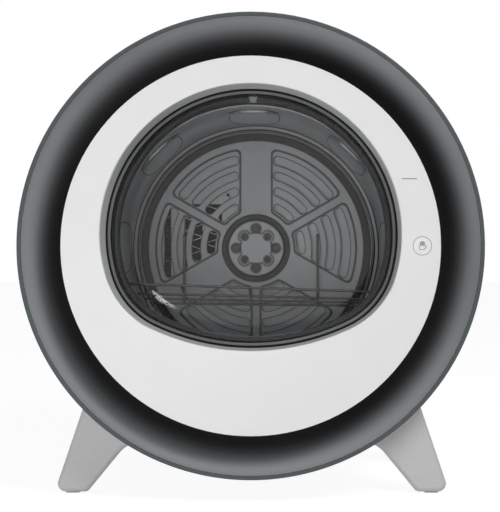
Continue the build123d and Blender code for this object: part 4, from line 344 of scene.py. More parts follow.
@dataclass(frozen=True)
class Finish(Dressing):
    """A solid finish: colour with slight variation and painted shade in grooves and along cut edges, gloss with
    slight variation, relief and softened edges.

    Attributes:
        colour: linear base colour.
        roughness: mean roughness.
        metallic: 0 for plastics and paint, 1 for bare metal.
        relief: kind of fine relief.
        relief_scale: patches of relief per metre.
        relief_depth: height of the relief in metres.
        mottle: share by which the colour varies over the surface.
        edge: radius of the softened edges in metres.
        coat: weight of a clear coat.
        sheen: weight of fabric sheen.
        glow: strength of its own light.
        specular: specular level of the surface, 0.5 for plain plastic.
        speckle: share by which the colour varies from grain to grain.
        groove: share of painted shade that darkens grooves and inner corners.
        groove_reach: distance in metres within which walls paint shade into a groove.
        cut_edge: width in metres of the dark line of painted shade along cut edges.
    """

    colour: Colour
    roughness: float
    metallic: float = 0.0
    relief: Relief = Relief.NONE
    relief_scale: float = 900.0
    relief_depth: float = 0.00004
    mottle: float = 0.05
    edge: float = 0.0005
    coat: float = 0.0
    sheen: float = 0.0
    glow: float = 0.0
    specular: float = 0.5
    speckle: float = 0.0
    groove: float = 0.0
    groove_reach: float = 0.003
    cut_edge: float = 0.0
    def shade(self, canvas: NodeCanvas) -> Socket:
        """Builds the base colour over the surface, with painted shade in grooves and along cut edges.

        Args:
            canvas: the material's node tree.

        Returns:
            The colour.
        """
        patches = canvas.noise(PATCH_SCALE, PATCH_DETAIL, canvas.place())
        low = tuple(c * (1 - self.mottle) for c in self.colour)
        high = tuple(min(1.0, c * (1 + self.mottle)) for c in self.colour)
        colour = canvas.mix(canvas.ranged(patches, 0.0, 1.0), low, high)
        if self.speckle:
            grains = canvas.noise(GRAIN_SCALE, GRAIN_DETAIL, canvas.place())
            colour = canvas.blended(canvas.ranged(grains, 0.0, self.speckle), colour, BLACK)
        return self.darkened(canvas, colour)

    def darkened(self, canvas: NodeCanvas, colour: Socket) -> Socket:
        """Paints shade into the colour in grooves and along cut edges.

        Args:
            canvas: the material's node tree.
            colour: the colour without them.

        Returns:
            The darkened colour.
        """
        # Painted shade: grooves and inner corners darken where the piece's own faces close in on them.
        if self.groove:
            groove_shade_mask = canvas.closed_in(self.groove_reach, GROOVE_SPAN, GROOVE_SAMPLES, inside=False)
            colour = canvas.blended(canvas.math("MULTIPLY", groove_shade_mask, self.groove), colour, GROOVE_SHADE_COLOUR)
        # Painted shade: a dark line along cut edges.
        if self.cut_edge:
            outline = canvas.closed_in(self.cut_edge, EDGE_SPAN, EDGE_SAMPLES, inside=True)
            colour = canvas.blended(canvas.math("MULTIPLY", outline, EDGE_SHADE_SHARE), colour, EDGE_SHADE_COLOUR)
        return colour

    def height(self, canvas: NodeCanvas) -> Socket:
        """Builds the relief's height over the surface.

        Args:
            canvas: the material's node tree.

        Returns:
            The height from 0 to 1.
        """
        if self.relief is Relief.TURNED:
            radius, angle, along = canvas.polar()
            joined = canvas.add("CombineXYZ")
            canvas.link(radius, joined.inputs["X"])
            canvas.link(canvas.math("MULTIPLY", angle, TURNED_PULL), joined.inputs["Y"])
            canvas.link(along, joined.inputs["Z"])
            return canvas.noise(self.relief_scale, LINE_DETAIL, joined.outputs[0])
        if self.relief is Relief.ROLLED:
            return canvas.noise(self.relief_scale, LINE_DETAIL, canvas.stretched(ROLLED_PULL))
        if self.relief is Relief.FIBRE:
            return canvas.noise(self.relief_scale, FIBRE_DETAIL, canvas.stretched(FIBRE_PULL))
        return canvas.noise(self.relief_scale, SURFACE_DETAIL, canvas.place())

    def normal(self, canvas: NodeCanvas) -> Socket:
        """Builds the surface's normal, with softened edges and relief.

        Args:
            canvas: the material's node tree.

        Returns:
            The normal.
        """
        bevel = canvas.add("Bevel", samples=BEVEL_SAMPLES)
        bevel.inputs["Radius"].default_value = self.edge
        if self.relief is Relief.NONE:
            return bevel.outputs[0]
        bump = canvas.add("Bump")
        bump.inputs["Strength"].default_value = BUMP_STRENGTH
        bump.inputs["Distance"].default_value = self.relief_depth
        canvas.link(self.height(canvas), bump.inputs["Height"])
        canvas.link(bevel.outputs[0], bump.inputs["Normal"])
        return bump.outputs[0]

    def fill(self, canvas: NodeCanvas) -> None:
        """Builds the nodes in the material's empty tree.

        Args:
            canvas: the material's node tree.
        """
        shader = canvas.add("BsdfPrincipled")
        shader.inputs["Metallic"].default_value = self.metallic
        shader.inputs["Coat Weight"].default_value = self.coat
        shader.inputs["Coat Roughness"].default_value = COAT_ROUGHNESS
        shader.inputs["Sheen Weight"].default_value = self.sheen
        shader.inputs["Specular IOR Level"].default_value = self.specular
        canvas.link(self.shade(canvas), shader.inputs["Base Color"])
        gloss = canvas.noise(GLOSS_SCALE, GLOSS_DETAIL, canvas.place())
        canvas.link(canvas.ranged(gloss, self.roughness * GLOSS_LOW, min(1.0, self.roughness * GLOSS_HIGH)),
                    shader.inputs["Roughness"])
        canvas.link(self.normal(canvas), shader.inputs["Normal"])
        if self.glow:
            shader.inputs["Emission Color"].default_value = (*self.colour, 1.0)
            shader.inputs["Emission Strength"].default_value = self.glow
        canvas.show(shader)


@dataclass(frozen=True)
class RadialFinish(Finish):
    """A finish whose tone changes with the distance from the drum axis, which paints shade and highlight into
    the colour as rings.

    Attributes:
        tones: distances from the drum axis in metres, in rising order, with the tone at each, where 1 is
            the finish's own colour.
    """

    tones: Tuple[Tuple[float, float], ...] = ()

    def shade(self, canvas: NodeCanvas) -> Socket:
        """Builds the base colour over the surface.

        Args:
            canvas: the material's node tree.

        Returns:
            The colour.
        """
        near, far = self.tones[0][0], self.tones[-1][0]
        share = canvas.math("DIVIDE", canvas.math("SUBTRACT", canvas.polar()[0], near), far - near)
        stops = [((place - near) / (far - near), tuple(c * tone for c in self.colour))
                 for place, tone in self.tones]
        return self.darkened(canvas, canvas.ramp(share, stops))


@dataclass(frozen=True)
class SmokedGlass(Dressing):
    """Smoked glass that tints what is behind it and mirrors its surroundings at its surface.

    Attributes:
        tint: share of light that one surface lets through.
        mirror: strength of the reflection seen square on.
        roughness: roughness of the reflection.
        rim_mirror: what the reflection gains where the surface is seen along itself.
        rim_power: how steeply it gains it.
        smear_scale: patches per metre of the slow changes in the reflection.
        smear_detail: octaves of those changes.
        smear_span: least and greatest share of the reflection over them.
    """

    tint: Colour
    mirror: float
    roughness: float
    rim_mirror: float = 0.3
    rim_power: float = 4.0
    smear_scale: float = 9.0
    smear_detail: float = 4.0
    smear_span: Span = (0.85, 1.15)

    def fill(self, canvas: NodeCanvas) -> None:
        """Builds the nodes in the material's empty tree.

        Args:
            canvas: the material's node tree.
        """
        through = canvas.add("BsdfTransparent")
        through.inputs["Color"].default_value = (*self.tint, 1.0)
        shine = canvas.add("BsdfGlossy")
        shine.inputs["Roughness"].default_value = self.roughness
        facing = canvas.add("LayerWeight")
        facing.inputs["Blend"].default_value = 0.5
        steep = canvas.math("POWER", facing.outputs["Facing"], self.rim_power)
        share = canvas.math("ADD", canvas.math("MULTIPLY", steep, self.rim_mirror), self.mirror)
        patches = canvas.noise(self.smear_scale, self.smear_detail, canvas.place())
        smears = canvas.ranged(patches, *self.smear_span)
        canvas.show_either(canvas.math("MULTIPLY", share, smears), through, shine)


WHITE_LACQUER = Finish("white_lacquer", (0.775, 0.775, 0.78), 0.32, relief=Relief.PEEL, relief_scale=260.0,
                       relief_depth=0.00002, mottle=0.008, edge=0.0006, specular=0.35)
BADGE_WHITE = Finish("badge_white", (0.80, 0.80, 0.80), 0.25, mottle=0.01, edge=0.0002)
# Painted shade: the cove darkens from its rim to near black at the door's edge, where the deep cove lies in the
# door's shade.
COVE_PAINTED_SHADE = RadialFinish("cove_anthracite", (0.33, 0.338, 0.35), 0.38, relief=Relief.PEEL, relief_scale=1400.0,
                    relief_depth=0.00001, specular=0.15,
                    tones=((0.2050, 0.012), (0.2128, 0.015), (0.2170, 0.03), (0.2215, 0.07), (0.2265, 0.17),
                           (0.2320, 0.40), (0.2380, 0.80), (0.2454, 1.25)))
RIM_SLATE = Finish("rim_slate", (0.070, 0.080, 0.087), 0.42, relief=Relief.GRAIN, relief_scale=2200.0,
                   relief_depth=0.00001, mottle=0.03, edge=0.0004, specular=0.3)
CASING_WHITE = Finish("casing_white", (0.70, 0.70, 0.705), 0.38, relief=Relief.PEEL, relief_scale=420.0,
                      relief_depth=0.00003, mottle=0.012, specular=0.4)
WELL_GREY = Finish("well_grey", (0.60, 0.615, 0.63), 0.45, relief=Relief.GRAIN, relief_scale=3000.0,
                   relief_depth=0.00001, mottle=0.02, specular=0.3)
SEAL_BLACK = Finish("seal_black", (0.010, 0.010, 0.010), 0.5, relief=Relief.GRAIN, relief_scale=2500.0,
                    relief_depth=0.00002, specular=0.15)
RETAINER = Finish("retainer_satin", (0.14, 0.144, 0.15), 0.35, mottle=0.03)
BOWL_GLASS = SmokedGlass("smoked_glass", (0.965, 0.967, 0.97), 0.02, 0.03)
# Painted shade darkens the grooves of the drum wall.
DRUM_STEEL = Finish("drum_steel", (0.56, 0.568, 0.575), 0.42, metallic=0.4, relief=Relief.TURNED,
                    relief_scale=1500.0, relief_depth=0.000012, mottle=0.04, edge=0.0006, groove=0.85)
# Painted shade and highlight: near-black rings over the hub's groove and the pressed channel, then a dark line
# between two light lines on the outer bends.
DRUM_BACK_PAINTED_SHADE_AND_HIGHLIGHT = RadialFinish("drum_back_painted_shade_and_highlight", (0.36, 0.366, 0.372), 0.42, metallic=0.3, relief=Relief.TURNED,
                         relief_scale=1500.0, relief_depth=0.000012, edge=0.0005, groove=0.3,
                         groove_reach=0.002, cut_edge=0.0018,
                         tones=((0.0360, 1.0), (0.0368, 0.08), (0.0436, 0.08), (0.0444, 1.0), (0.1407, 1.0),
                                (0.1415, 0.04), (0.1508, 0.04), (0.1514, 1.3), (0.1536, 1.3), (0.1542, 0.12),
                                (0.1558, 0.12), (0.1564, 1.3), (0.1610, 1.3)))
# Painted shade darkens the hub's grooves and lines its cut edges.
HUB_STEEL = Finish("hub_steel", (0.37, 0.376, 0.382), 0.38, metallic=0.3, relief=Relief.GRAIN,
                   relief_scale=900.0, relief_depth=0.00001, mottle=0.03, groove=0.9, groove_reach=0.0034,
                   cut_edge=0.0022)
DARK_MOULDING = Finish("dark_moulding", (0.022, 0.0225, 0.024), 0.5, relief=Relief.GRAIN, relief_scale=1800.0,
                       relief_depth=0.00002, mottle=0.06, specular=0.2)
GREY_MOULDING = Finish("grey_moulding", (0.20, 0.205, 0.21), 0.48, relief=Relief.GRAIN, relief_scale=1800.0,
                       relief_depth=0.00002, mottle=0.04, specular=0.35)
PALE_MOULDING = Finish("pale_moulding", (0.56, 0.56, 0.565), 0.42, relief=Relief.GRAIN, relief_scale=1600.0,
                       relief_depth=0.00002, mottle=0.02, specular=0.4)
LEG_SATIN = Finish("leg_satin", (0.60, 0.60, 0.603), 0.42, relief=Relief.GRAIN, relief_scale=1300.0,
                   relief_depth=0.00005, mottle=0.02, edge=0.001, specular=0.35, speckle=0.14)
FELT = Finish("felt", (0.05, 0.05, 0.05), 0.95, relief=Relief.FIBRE, relief_scale=700.0, relief_depth=0.0004,
              mottle=0.2, sheen=0.3, specular=0.1)
BULKHEAD_ZINC = Finish("bulkhead_zinc", (0.44, 0.446, 0.452), 0.45, metallic=0.2, relief=Relief.ROLLED,
                       relief_scale=500.0, relief_depth=0.00002, mottle=0.06)
ZINC_SHEET = Finish("zinc_sheet", (0.42, 0.425, 0.43), 0.4, metallic=0.8, relief=Relief.ROLLED,
                    relief_scale=500.0, relief_depth=0.00002, mottle=0.1)
BRIGHT_STEEL = Finish("bright_steel", (0.5, 0.5, 0.5), 0.28, metallic=1.0, relief=Relief.ROLLED,
                      relief_scale=900.0, relief_depth=0.000008, mottle=0.04, edge=0.0003)
RACK_WIRE = Finish("rack_wire", (0.08, 0.081, 0.082), 0.25, metallic=0.6, relief=Relief.GRAIN,
                   relief_scale=1200.0, relief_depth=0.00001, mottle=0.06)
CAST_IRON = Finish("cast_iron", (0.10, 0.10, 0.10), 0.6, metallic=0.4, relief=Relief.GRAIN, relief_scale=600.0,
                   relief_depth=0.0002, mottle=0.15)
BRIGHT_FOIL = Finish("bright_foil", (0.88, 0.88, 0.88), 0.3, metallic=0.2, relief=Relief.ROLLED,
                     relief_scale=300.0, relief_depth=0.00003)
FILTER_FOAM = Finish("filter_foam", (0.03, 0.03, 0.031), 0.9, relief=Relief.FIBRE, relief_scale=900.0,
                     relief_depth=0.0006, mottle=0.3, specular=0.1)
BLACK_MOULDING = Finish("black_moulding", (0.02, 0.02, 0.02), 0.4, relief=Relief.GRAIN, relief_scale=1500.0,
                        relief_depth=0.00002)
RUBBER = Finish("rubber", (0.02, 0.02, 0.02), 0.75, relief=Relief.GRAIN, relief_scale=1200.0,
                relief_depth=0.00004, mottle=0.12, specular=0.2)
BOARD_GREEN = Finish("board_green", (0.02, 0.10, 0.04), 0.35, relief=Relief.GRAIN, relief_scale=500.0,
                     relief_depth=0.00002)
LAMP_LENS = Finish("lamp_lens", (0.30, 0.302, 0.30), 0.3, relief=Relief.GRAIN, relief_scale=700.0,
                   relief_depth=0.0001, glow=0.04)
PAD_RUBBER = Finish("pad_rubber", (0.45, 0.45, 0.452), 0.7, relief=Relief.GRAIN, relief_scale=1200.0,
                    relief_depth=0.00004, specular=0.2)
# Painted shade: dark strokes that stand in for the shade along the pads' pressed steps and inside the screws'
# cross recesses.
PAINTED_SHADE_LINE = Finish("painted_shade_line", (0.04, 0.041, 0.042), 0.6, metallic=0.3, relief=Relief.GRAIN,
                   relief_scale=2000.0, relief_depth=0.00001, specular=0.2)
PRINT_PALE = Finish("print_pale", (0.70, 0.70, 0.70), 0.5, mottle=0.03, edge=0.0001)
FOIL_EDGE = Finish("foil_edge", (0.95, 0.95, 0.95), 0.35, relief=Relief.ROLLED, relief_scale=250.0,
                   relief_depth=0.0001, mottle=0.02, edge=0.0001)
PRINT_GREY = Finish("print_grey", (0.09, 0.09, 0.095), 0.5, mottle=0.08, edge=0.0001)


@dataclass
class SubAssembly:
    """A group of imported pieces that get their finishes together."""

    def finishes(self) -> Dict[str, Dressing]:
        """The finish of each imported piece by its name."""
        return {}

    def extras(self) -> None:
        """Adds the pieces that only show in looks."""

    def dress(self) -> None:
        """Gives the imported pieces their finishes, adds the extra pieces and reports."""
        for name, finish in self.finishes().items():
            dress_node(name, finish)
        self.extras()
        LOG.info("%s dressed: %d packed pieces", type(self).__name__, len(self.finishes()))


def dress_node(name: str, finish: Dressing) -> None:
    """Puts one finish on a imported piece.

    Args:
        name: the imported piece's name.
        finish: its finish.
    """
    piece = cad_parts[name]
    piece.data.materials.clear()
    piece.data.materials.append(finish.material())
    LOG.info("%s: %s", name, finish.name)


def add_piece(name: str, mesh: bpy.types.Mesh, finish: Dressing, body: Body) -> bpy.types.Object:
    """Links a new piece that rides on a body.

    Args:
        name: the piece's name.
        mesh: its mesh in the machine's frame.
        finish: its finish.
        body: the body that it rides on.

    Returns:
        The new object.
    """
    piece = bpy.data.objects.new(name, mesh)
    bpy.context.scene.collection.objects.link(piece)
    mesh.materials.append(finish.material())
    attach(piece, body.value)
    LOG.info("%s: %d faces", name, len(mesh.polygons))
    return piece


def taken_mesh(name: str, curve: bpy.types.Curve) -> bpy.types.Mesh:
    """Turns a curve or text into a mesh and removes the curve.

    Args:
        name: the mesh's name.
        curve: the curve or text.

    Returns:
        The mesh.
    """
    holder = bpy.data.objects.new(name + "_curve", curve)
    bpy.context.scene.collection.objects.link(holder)
    bpy.context.view_layer.update()
    mesh = bpy.data.meshes.new_from_object(holder.evaluated_get(bpy.context.evaluated_depsgraph_get()))
    mesh.name = name
    bpy.data.objects.remove(holder)
    bpy.data.curves.remove(curve)
    return mesh


def tube_mesh(name: str, outlines: Iterable[Sequence[Sequence[float]]], thick: float,
              closed: bool = True) -> bpy.types.Mesh:
    """Thin round strokes along outlines in space.

    Args:
        name: the mesh's name.
        outlines: lists of points in metres.
        thick: the stroke's width in metres.
        closed: whether each outline joins up.

    Returns:
        The mesh.
    """
    curve = bpy.data.curves.new(name + "_line", "CURVE")
    curve.dimensions = "3D"
    curve.bevel_depth = thick / 2
    curve.bevel_resolution = 2
    for outline in outlines:
        spline = curve.splines.new("POLY")
        spline.points.add(len(outline) - 1)
        for point, place in zip(spline.points, outline):
            point.co = (*place, 1.0)
        spline.use_cyclic_u = closed
    return taken_mesh(name, curve)


def text_mesh(name: str, words: Iterable[Tuple[str, float, float]], size: float, height: float,
              thick: float) -> bpy.types.Mesh:
    """Thin raised figures that lie on a level face and read from the front.

    Args:
        name: the mesh's name.
        words: each figure with the side and depth places of its middle in metres.
        size: letter size in metres.
        height: where the face lies.
        thick: how far the figures stand out of the face on either side.

    Returns:
        The mesh.
    """
    joined = bmesh.new()
    for word, x, y in words:
        curve = bpy.data.curves.new(name + "_text", "FONT")
        curve.body = word
        curve.size = size
        curve.extrude = thick
        curve.align_x = "CENTER"
        curve.align_y = "CENTER"
        figure = taken_mesh(name + "_figure", curve)
        figure.transform(Matrix.Translation((x, y, height)))
        joined.from_mesh(figure)
        bpy.data.meshes.remove(figure)
    mesh = bpy.data.meshes.new(name)
    joined.to_mesh(mesh)
    joined.free()
    return mesh


def around_axis(turn: float) -> Tuple[Vector, Vector]:
    """Finds two directions at an angle round the drum axis.

    Args:
        turn: angle from +X towards +Z in radians.

    Returns:
        The direction away from the axis and the one round it.
    """
    return Vector((math.cos(turn), 0.0, math.sin(turn))), Vector((-math.sin(turn), 0.0, math.cos(turn)))


@dataclass
class FrontRing(SubAssembly):
    """The rim trim and the cove inside it."""

    def finishes(self) -> Dict[str, Dressing]:
        """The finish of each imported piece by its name."""
        return {"rim_trim": RIM_SLATE, "front_bezel": COVE_PAINTED_SHADE}


@dataclass
class Door(SubAssembly):
    """The white door, its window well and glass, and its printed marks.

    Attributes:
        tick_left: left end of the level mark.
        tick_right: its right end.
        tick_height: its height above the drum axis.
        stroke: width of the level mark.
        ring_stroke: width of the ring round the push hand.
        ring_steps: sides of that ring.
        hand_stroke: width of the hand's outline.
        finger_tips: side distance and height of each finger's tip from the ring's middle.
        finger_half: half width of a finger.
        finger_root: height of the fingers' roots.
        finger_steps: sides of a finger's round tip.
        wrist: outline from the wrist to the first finger.
        thumb: outline from the last finger round the thumb to the wrist.
    """

    tick_left: float = 161.2 * MM
    tick_right: float = 177.2 * MM
    tick_height: float = 71.6 * MM
    stroke: float = 0.7 * MM
    ring_stroke: float = 0.5 * MM
    ring_steps: int = 72
    hand_stroke: float = 0.6 * MM
    finger_tips: Tuple[Span, ...] = ((-2.1, 3.0), (-0.75, 4.0), (0.65, 4.1), (2.0, 3.2))
    finger_half: float = 0.55
    finger_root: float = 0.2
    finger_steps: int = 4
    wrist: Tuple[Span, ...] = ((-2.6, -3.9), (-3.2, -1.6))
    thumb: Tuple[Span, ...] = ((2.7, -0.9), (3.7, 0.3), (4.3, -0.1), (3.4, -2.0), (1.9, -3.9))

    def finishes(self) -> Dict[str, Dressing]:
        """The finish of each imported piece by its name."""
        return {
            "door_cover": WHITE_LACQUER,
            "push_badge": BADGE_WHITE,
            "window_well": WELL_GREY,
            "glass_gasket": SEAL_BLACK,
            "retainer_ring": RETAINER,
            "door_glass": BOWL_GLASS,
            "door_inner_frame": GREY_MOULDING,
            "door_screws": BRIGHT_STEEL,
            "hinge_arm": BRIGHT_STEEL,
            "latch_hook": PALE_MOULDING,
        }

    def palm(self, centre_x: float, centre_z: float) -> List[Span]:
        """Outline of an open hand about a centre, fingers up.

        Args:
            centre_x: side distance of the centre.
            centre_z: height of the centre.

        Returns:
            Points round the outline in metres.
        """
        points: List[Span] = list(self.wrist)
        for tip_x, tip_z in self.finger_tips:
            points.append((tip_x - self.finger_half, self.finger_root))
            for step in range(self.finger_steps + 1):
                turn = math.pi - step * math.pi / self.finger_steps
                points.append((tip_x + self.finger_half * math.cos(turn),
                               tip_z + self.finger_half * math.sin(turn)))
            points.append((tip_x + self.finger_half, self.finger_root))
        points.extend(self.thumb)
        return [(centre_x + x * MM, centre_z + z * MM) for x, z in points]

    def add_mark(self, name: str, outline: Sequence[Span], width: float, closed: bool = True) -> None:
        """Prints one line on the door's face.

        Args:
            name: the piece's name.
            outline: pairs of side distance and height in metres.
            width: the line's width.
            closed: whether the outline joins up.
        """
        path = [(x, FRONT_Y, z) for x, z in outline]
        add_piece(name, tube_mesh(name, [path], width, closed), PRINT_GREY, Body.DOOR)

    def extras(self) -> None:
        """Adds the level mark and the push pictogram."""
        height = AXIS_Z + self.tick_height
        low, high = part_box("push_badge")
        centre_x, centre_z = (low.x + high.x) / 2, (low.z + high.z) / 2
        radius = (high.x - low.x) / 2
        turns = [2 * math.pi * step / self.ring_steps for step in range(self.ring_steps)]
        ring = [(centre_x + radius * math.cos(turn), centre_z + radius * math.sin(turn)) for turn in turns]
        self.add_mark("level_mark", [(self.tick_left, height), (self.tick_right, height)], self.stroke,
                      closed=False)
        self.add_mark("push_outline", ring, self.ring_stroke)
        self.add_mark("push_hand", self.palm(centre_x, centre_z), self.hand_stroke)


@dataclass
class Drum(SubAssembly):
    """The drum with its back, hub and shoe rack, and dark strokes of painted shade round the pads of its wall.

    Attributes:
        pad_count: pads round the wall.
        pad_radius: distance of a pad's flat face from the drum axis.
        pad_length: of a pad along the axis.
        pad_width: of a pad across.
        pad_bend_long: of the line's corners along the axis.
        pad_bend_wide: of its corners across.
        pad_middle: depth of the pads' middle behind the front plane.
        pad_stroke: width of the line.
        bend_steps: sides of each corner.
    """

    pad_count: int = 8
    pad_radius: float = 157.4 * MM
    pad_length: float = 122.0 * MM
    pad_width: float = 61.0 * MM
    pad_bend_long: float = 46.0 * MM
    pad_bend_wide: float = 17.0 * MM
    pad_middle: float = 190.0 * MM
    pad_stroke: float = 1.0 * MM
    bend_steps: int = 8

    def finishes(self) -> Dict[str, Dressing]:
        """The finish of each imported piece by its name."""
        return {
            "drum_shell": DRUM_STEEL,
            "drum_back": DRUM_BACK_PAINTED_SHADE_AND_HIGHLIGHT,
            "hub_plate": HUB_STEEL,
            "hub_screws": HUB_STEEL,
            "drum_shaft": BRIGHT_STEEL,
            "shoe_rack": RACK_WIRE,
        }

    def pad_outline(self) -> List[Span]:
        """Outline of one pressed pad in its own plane.

        Returns:
            Pairs of depth and side distance from the pad's middle.
        """
        half_long = self.pad_length / 2 - self.pad_bend_long
        half_wide = self.pad_width / 2 - self.pad_bend_wide
        points: List[Span] = []
        for quarter, (long_sign, wide_sign) in enumerate(((1, 1), (-1, 1), (-1, -1), (1, -1))):
            for step in range(self.bend_steps + 1):
                turn = math.pi / 2 * (quarter + step / self.bend_steps)
                points.append((long_sign * half_long + self.pad_bend_long * math.cos(turn),
                               wide_sign * half_wide + self.pad_bend_wide * math.sin(turn)))
        return points

    def extras(self) -> None:
        """Adds a dark stroke of painted shade round each pad of the drum wall."""
        depth = FRONT_Y + self.pad_middle
        outlines = []
        for index in range(self.pad_count):
            out, side = around_axis(2 * math.pi * index / self.pad_count)
            centre = Vector((0.0, depth, AXIS_Z)) + out * self.pad_radius
            outlines.append([centre + Vector((0.0, long, 0.0)) + side * wide
                             for long, wide in self.pad_outline()])
        # Painted shade: a dark stroke along each pad's pressed step.
        lines = tube_mesh("pad_shade_lines", outlines, self.pad_stroke)
        add_piece("pad_shade_lines", lines, PAINTED_SHADE_LINE, Body.DRUM)


@dataclass
class Cabinet(SubAssembly):
    """The casing, bulkheads, rear cover and legs, and painted shade in the cross recesses of the cover screws.

    Attributes:
        screw_count: screws round the rear edge of the casing.
        screw_depth: of the screws behind the front plane.
        screw_face: distance of their heads' faces from the drum axis.
        cross_half: half length of a recess's arm.
        cross_stroke: width of an arm.
    """

    screw_count: int = 8
    screw_depth: float = 344.0 * MM
    screw_face: float = 241.6 * MM
    cross_half: float = 1.9 * MM
    cross_stroke: float = 0.7 * MM

    def finishes(self) -> Dict[str, Dressing]:
        """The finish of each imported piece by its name."""
        return {
            "casing_shell": CASING_WHITE,
            "front_bulkhead": DARK_MOULDING,
            "door_seal": SEAL_BLACK,
            "front_felt_ring": FELT,
            "drum_lamp": LAMP_LENS,
            "rear_bulkhead": BULKHEAD_ZINC,
            "rear_felt_ring": FELT,
            "rear_cover": PALE_MOULDING,
            "exhaust_collar": PALE_MOULDING,
            "intake_filter": FILTER_FOAM,
            "casing_screws": BRIGHT_STEEL,
            "cord_gland": RUBBER,
            "leg_front_left": LEG_SATIN,
            "leg_front_right": LEG_SATIN,
            "leg_rear_left": LEG_SATIN,
            "leg_rear_right": LEG_SATIN,
            "foot_pads": PAD_RUBBER,
            "hinge_bracket": BRIGHT_STEEL,
            "hinge_pin": BRIGHT_STEEL,
            "latch_catch": PALE_MOULDING,
            "latch_plunger": PALE_MOULDING,
            "door_switch": BLACK_MOULDING,
        }

    def extras(self) -> None:
        """Adds dark strokes of painted shade in the cross recesses of the cover screws."""
        arms = []
        for index in range(self.screw_count):
            out, side = around_axis(2 * math.pi * (index + 0.5) / self.screw_count)
            centre = Vector((0.0, FRONT_Y + self.screw_depth, AXIS_Z)) + out * self.screw_face
            for along in (side, Vector((0.0, 1.0, 0.0))):
                arms.append([centre - along * self.cross_half, centre + along * self.cross_half])
        # Painted shade: dark strokes in place of the shade inside each screw's cross recess.
        add_piece("screw_cross_shade", tube_mesh("screw_cross_shade", arms, self.cross_stroke, closed=False), PAINTED_SHADE_LINE,
                  Body.CABINET)


@dataclass
class Controls(SubAssembly):
    """The control panel in the top of the casing, with the timer's scale and the knob's pointer.

    Attributes:
        panel_height: of the panel's face above the drum axis.
        scale_start: direction of the timer's zero in degrees from +X.
        scale_sweep: clockwise turn from zero to the longest time in degrees.
        scale_step: minutes between two marks.
        figure_step: minutes between two figures.
        scale_end: longest time in minutes.
        tick_in: inner end of the scale's marks from the knob's axis.
        tick_out: outer end of the marks with a figure.
        tick_stroke: width of a mark.
        figure_out: distance of the figures.
        figure_size: letter size.
        figure_thick: how far the figures stand out.
        pointer_in: inner end of the knob's pointer from its axis.
        pointer_out: its outer end.
        pointer_stroke: its width.
        pointer_sink: how far it lies below the top of the knob.
    """

    panel_height: float = 227.98 * MM
    scale_start: float = -120.0
    scale_sweep: float = 300.0
    scale_step: int = 10
    figure_step: int = 30
    scale_end: int = 180
    tick_in: float = 19.5 * MM
    tick_out: float = 22.5 * MM
    tick_stroke: float = 0.5 * MM
    figure_out: float = 27.0 * MM
    figure_size: float = 5.0 * MM
    figure_thick: float = 0.1 * MM
    pointer_in: float = 5.0 * MM
    pointer_out: float = 13.5 * MM
    pointer_stroke: float = 0.9 * MM
    pointer_sink: float = 0.1 * MM

    def finishes(self) -> Dict[str, Dressing]:
        """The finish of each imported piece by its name."""
        return {
            "control_panel": DARK_MOULDING,
            "control_board": BOARD_GREEN,
            "timer_unit": BLACK_MOULDING,
            "timer_knob": PALE_MOULDING,
            "start_button": PALE_MOULDING,
        }

    def extras(self) -> None:
        """Adds the timer's scale, its figures and the knob's pointer."""
        low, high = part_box("timer_knob")
        centre_x, centre_y = (low.x + high.x) / 2, (low.y + high.y) / 2
        face = AXIS_Z + self.panel_height
        ticks = []
        figures = []
        for index in range(self.scale_end // self.scale_step + 1):
            minutes = self.scale_step * index
            turn = math.radians(self.scale_start - self.scale_sweep * minutes / self.scale_end)
            along = (math.cos(turn), math.sin(turn))
            labelled = minutes % self.figure_step == 0
            far = self.tick_out if labelled else (self.tick_in + self.tick_out) / 2
            ticks.append([(centre_x + reach * along[0], centre_y + reach * along[1], face)
                          for reach in (self.tick_in, far)])
            if labelled:
                figures.append((str(minutes), centre_x + self.figure_out * along[0],
                                centre_y + self.figure_out * along[1]))
        scale = tube_mesh("timer_scale", ticks, self.tick_stroke, closed=False)
        add_piece("timer_scale", scale, PRINT_PALE, Body.CABINET)
        numbers = text_mesh("timer_figures", figures, self.figure_size, face + self.figure_thick,
                            self.figure_thick)
        add_piece("timer_figures", numbers, PRINT_PALE, Body.CABINET)
        turn = math.radians(self.scale_start)
        pointer = [(centre_x + reach * math.cos(turn), centre_y + reach * math.sin(turn),
                    high.z - self.pointer_sink) for reach in (self.pointer_in, self.pointer_out)]
        add_piece("knob_pointer", tube_mesh("knob_pointer", [pointer], self.pointer_stroke, closed=False),
                  PRINT_GREY, Body.KNOB)


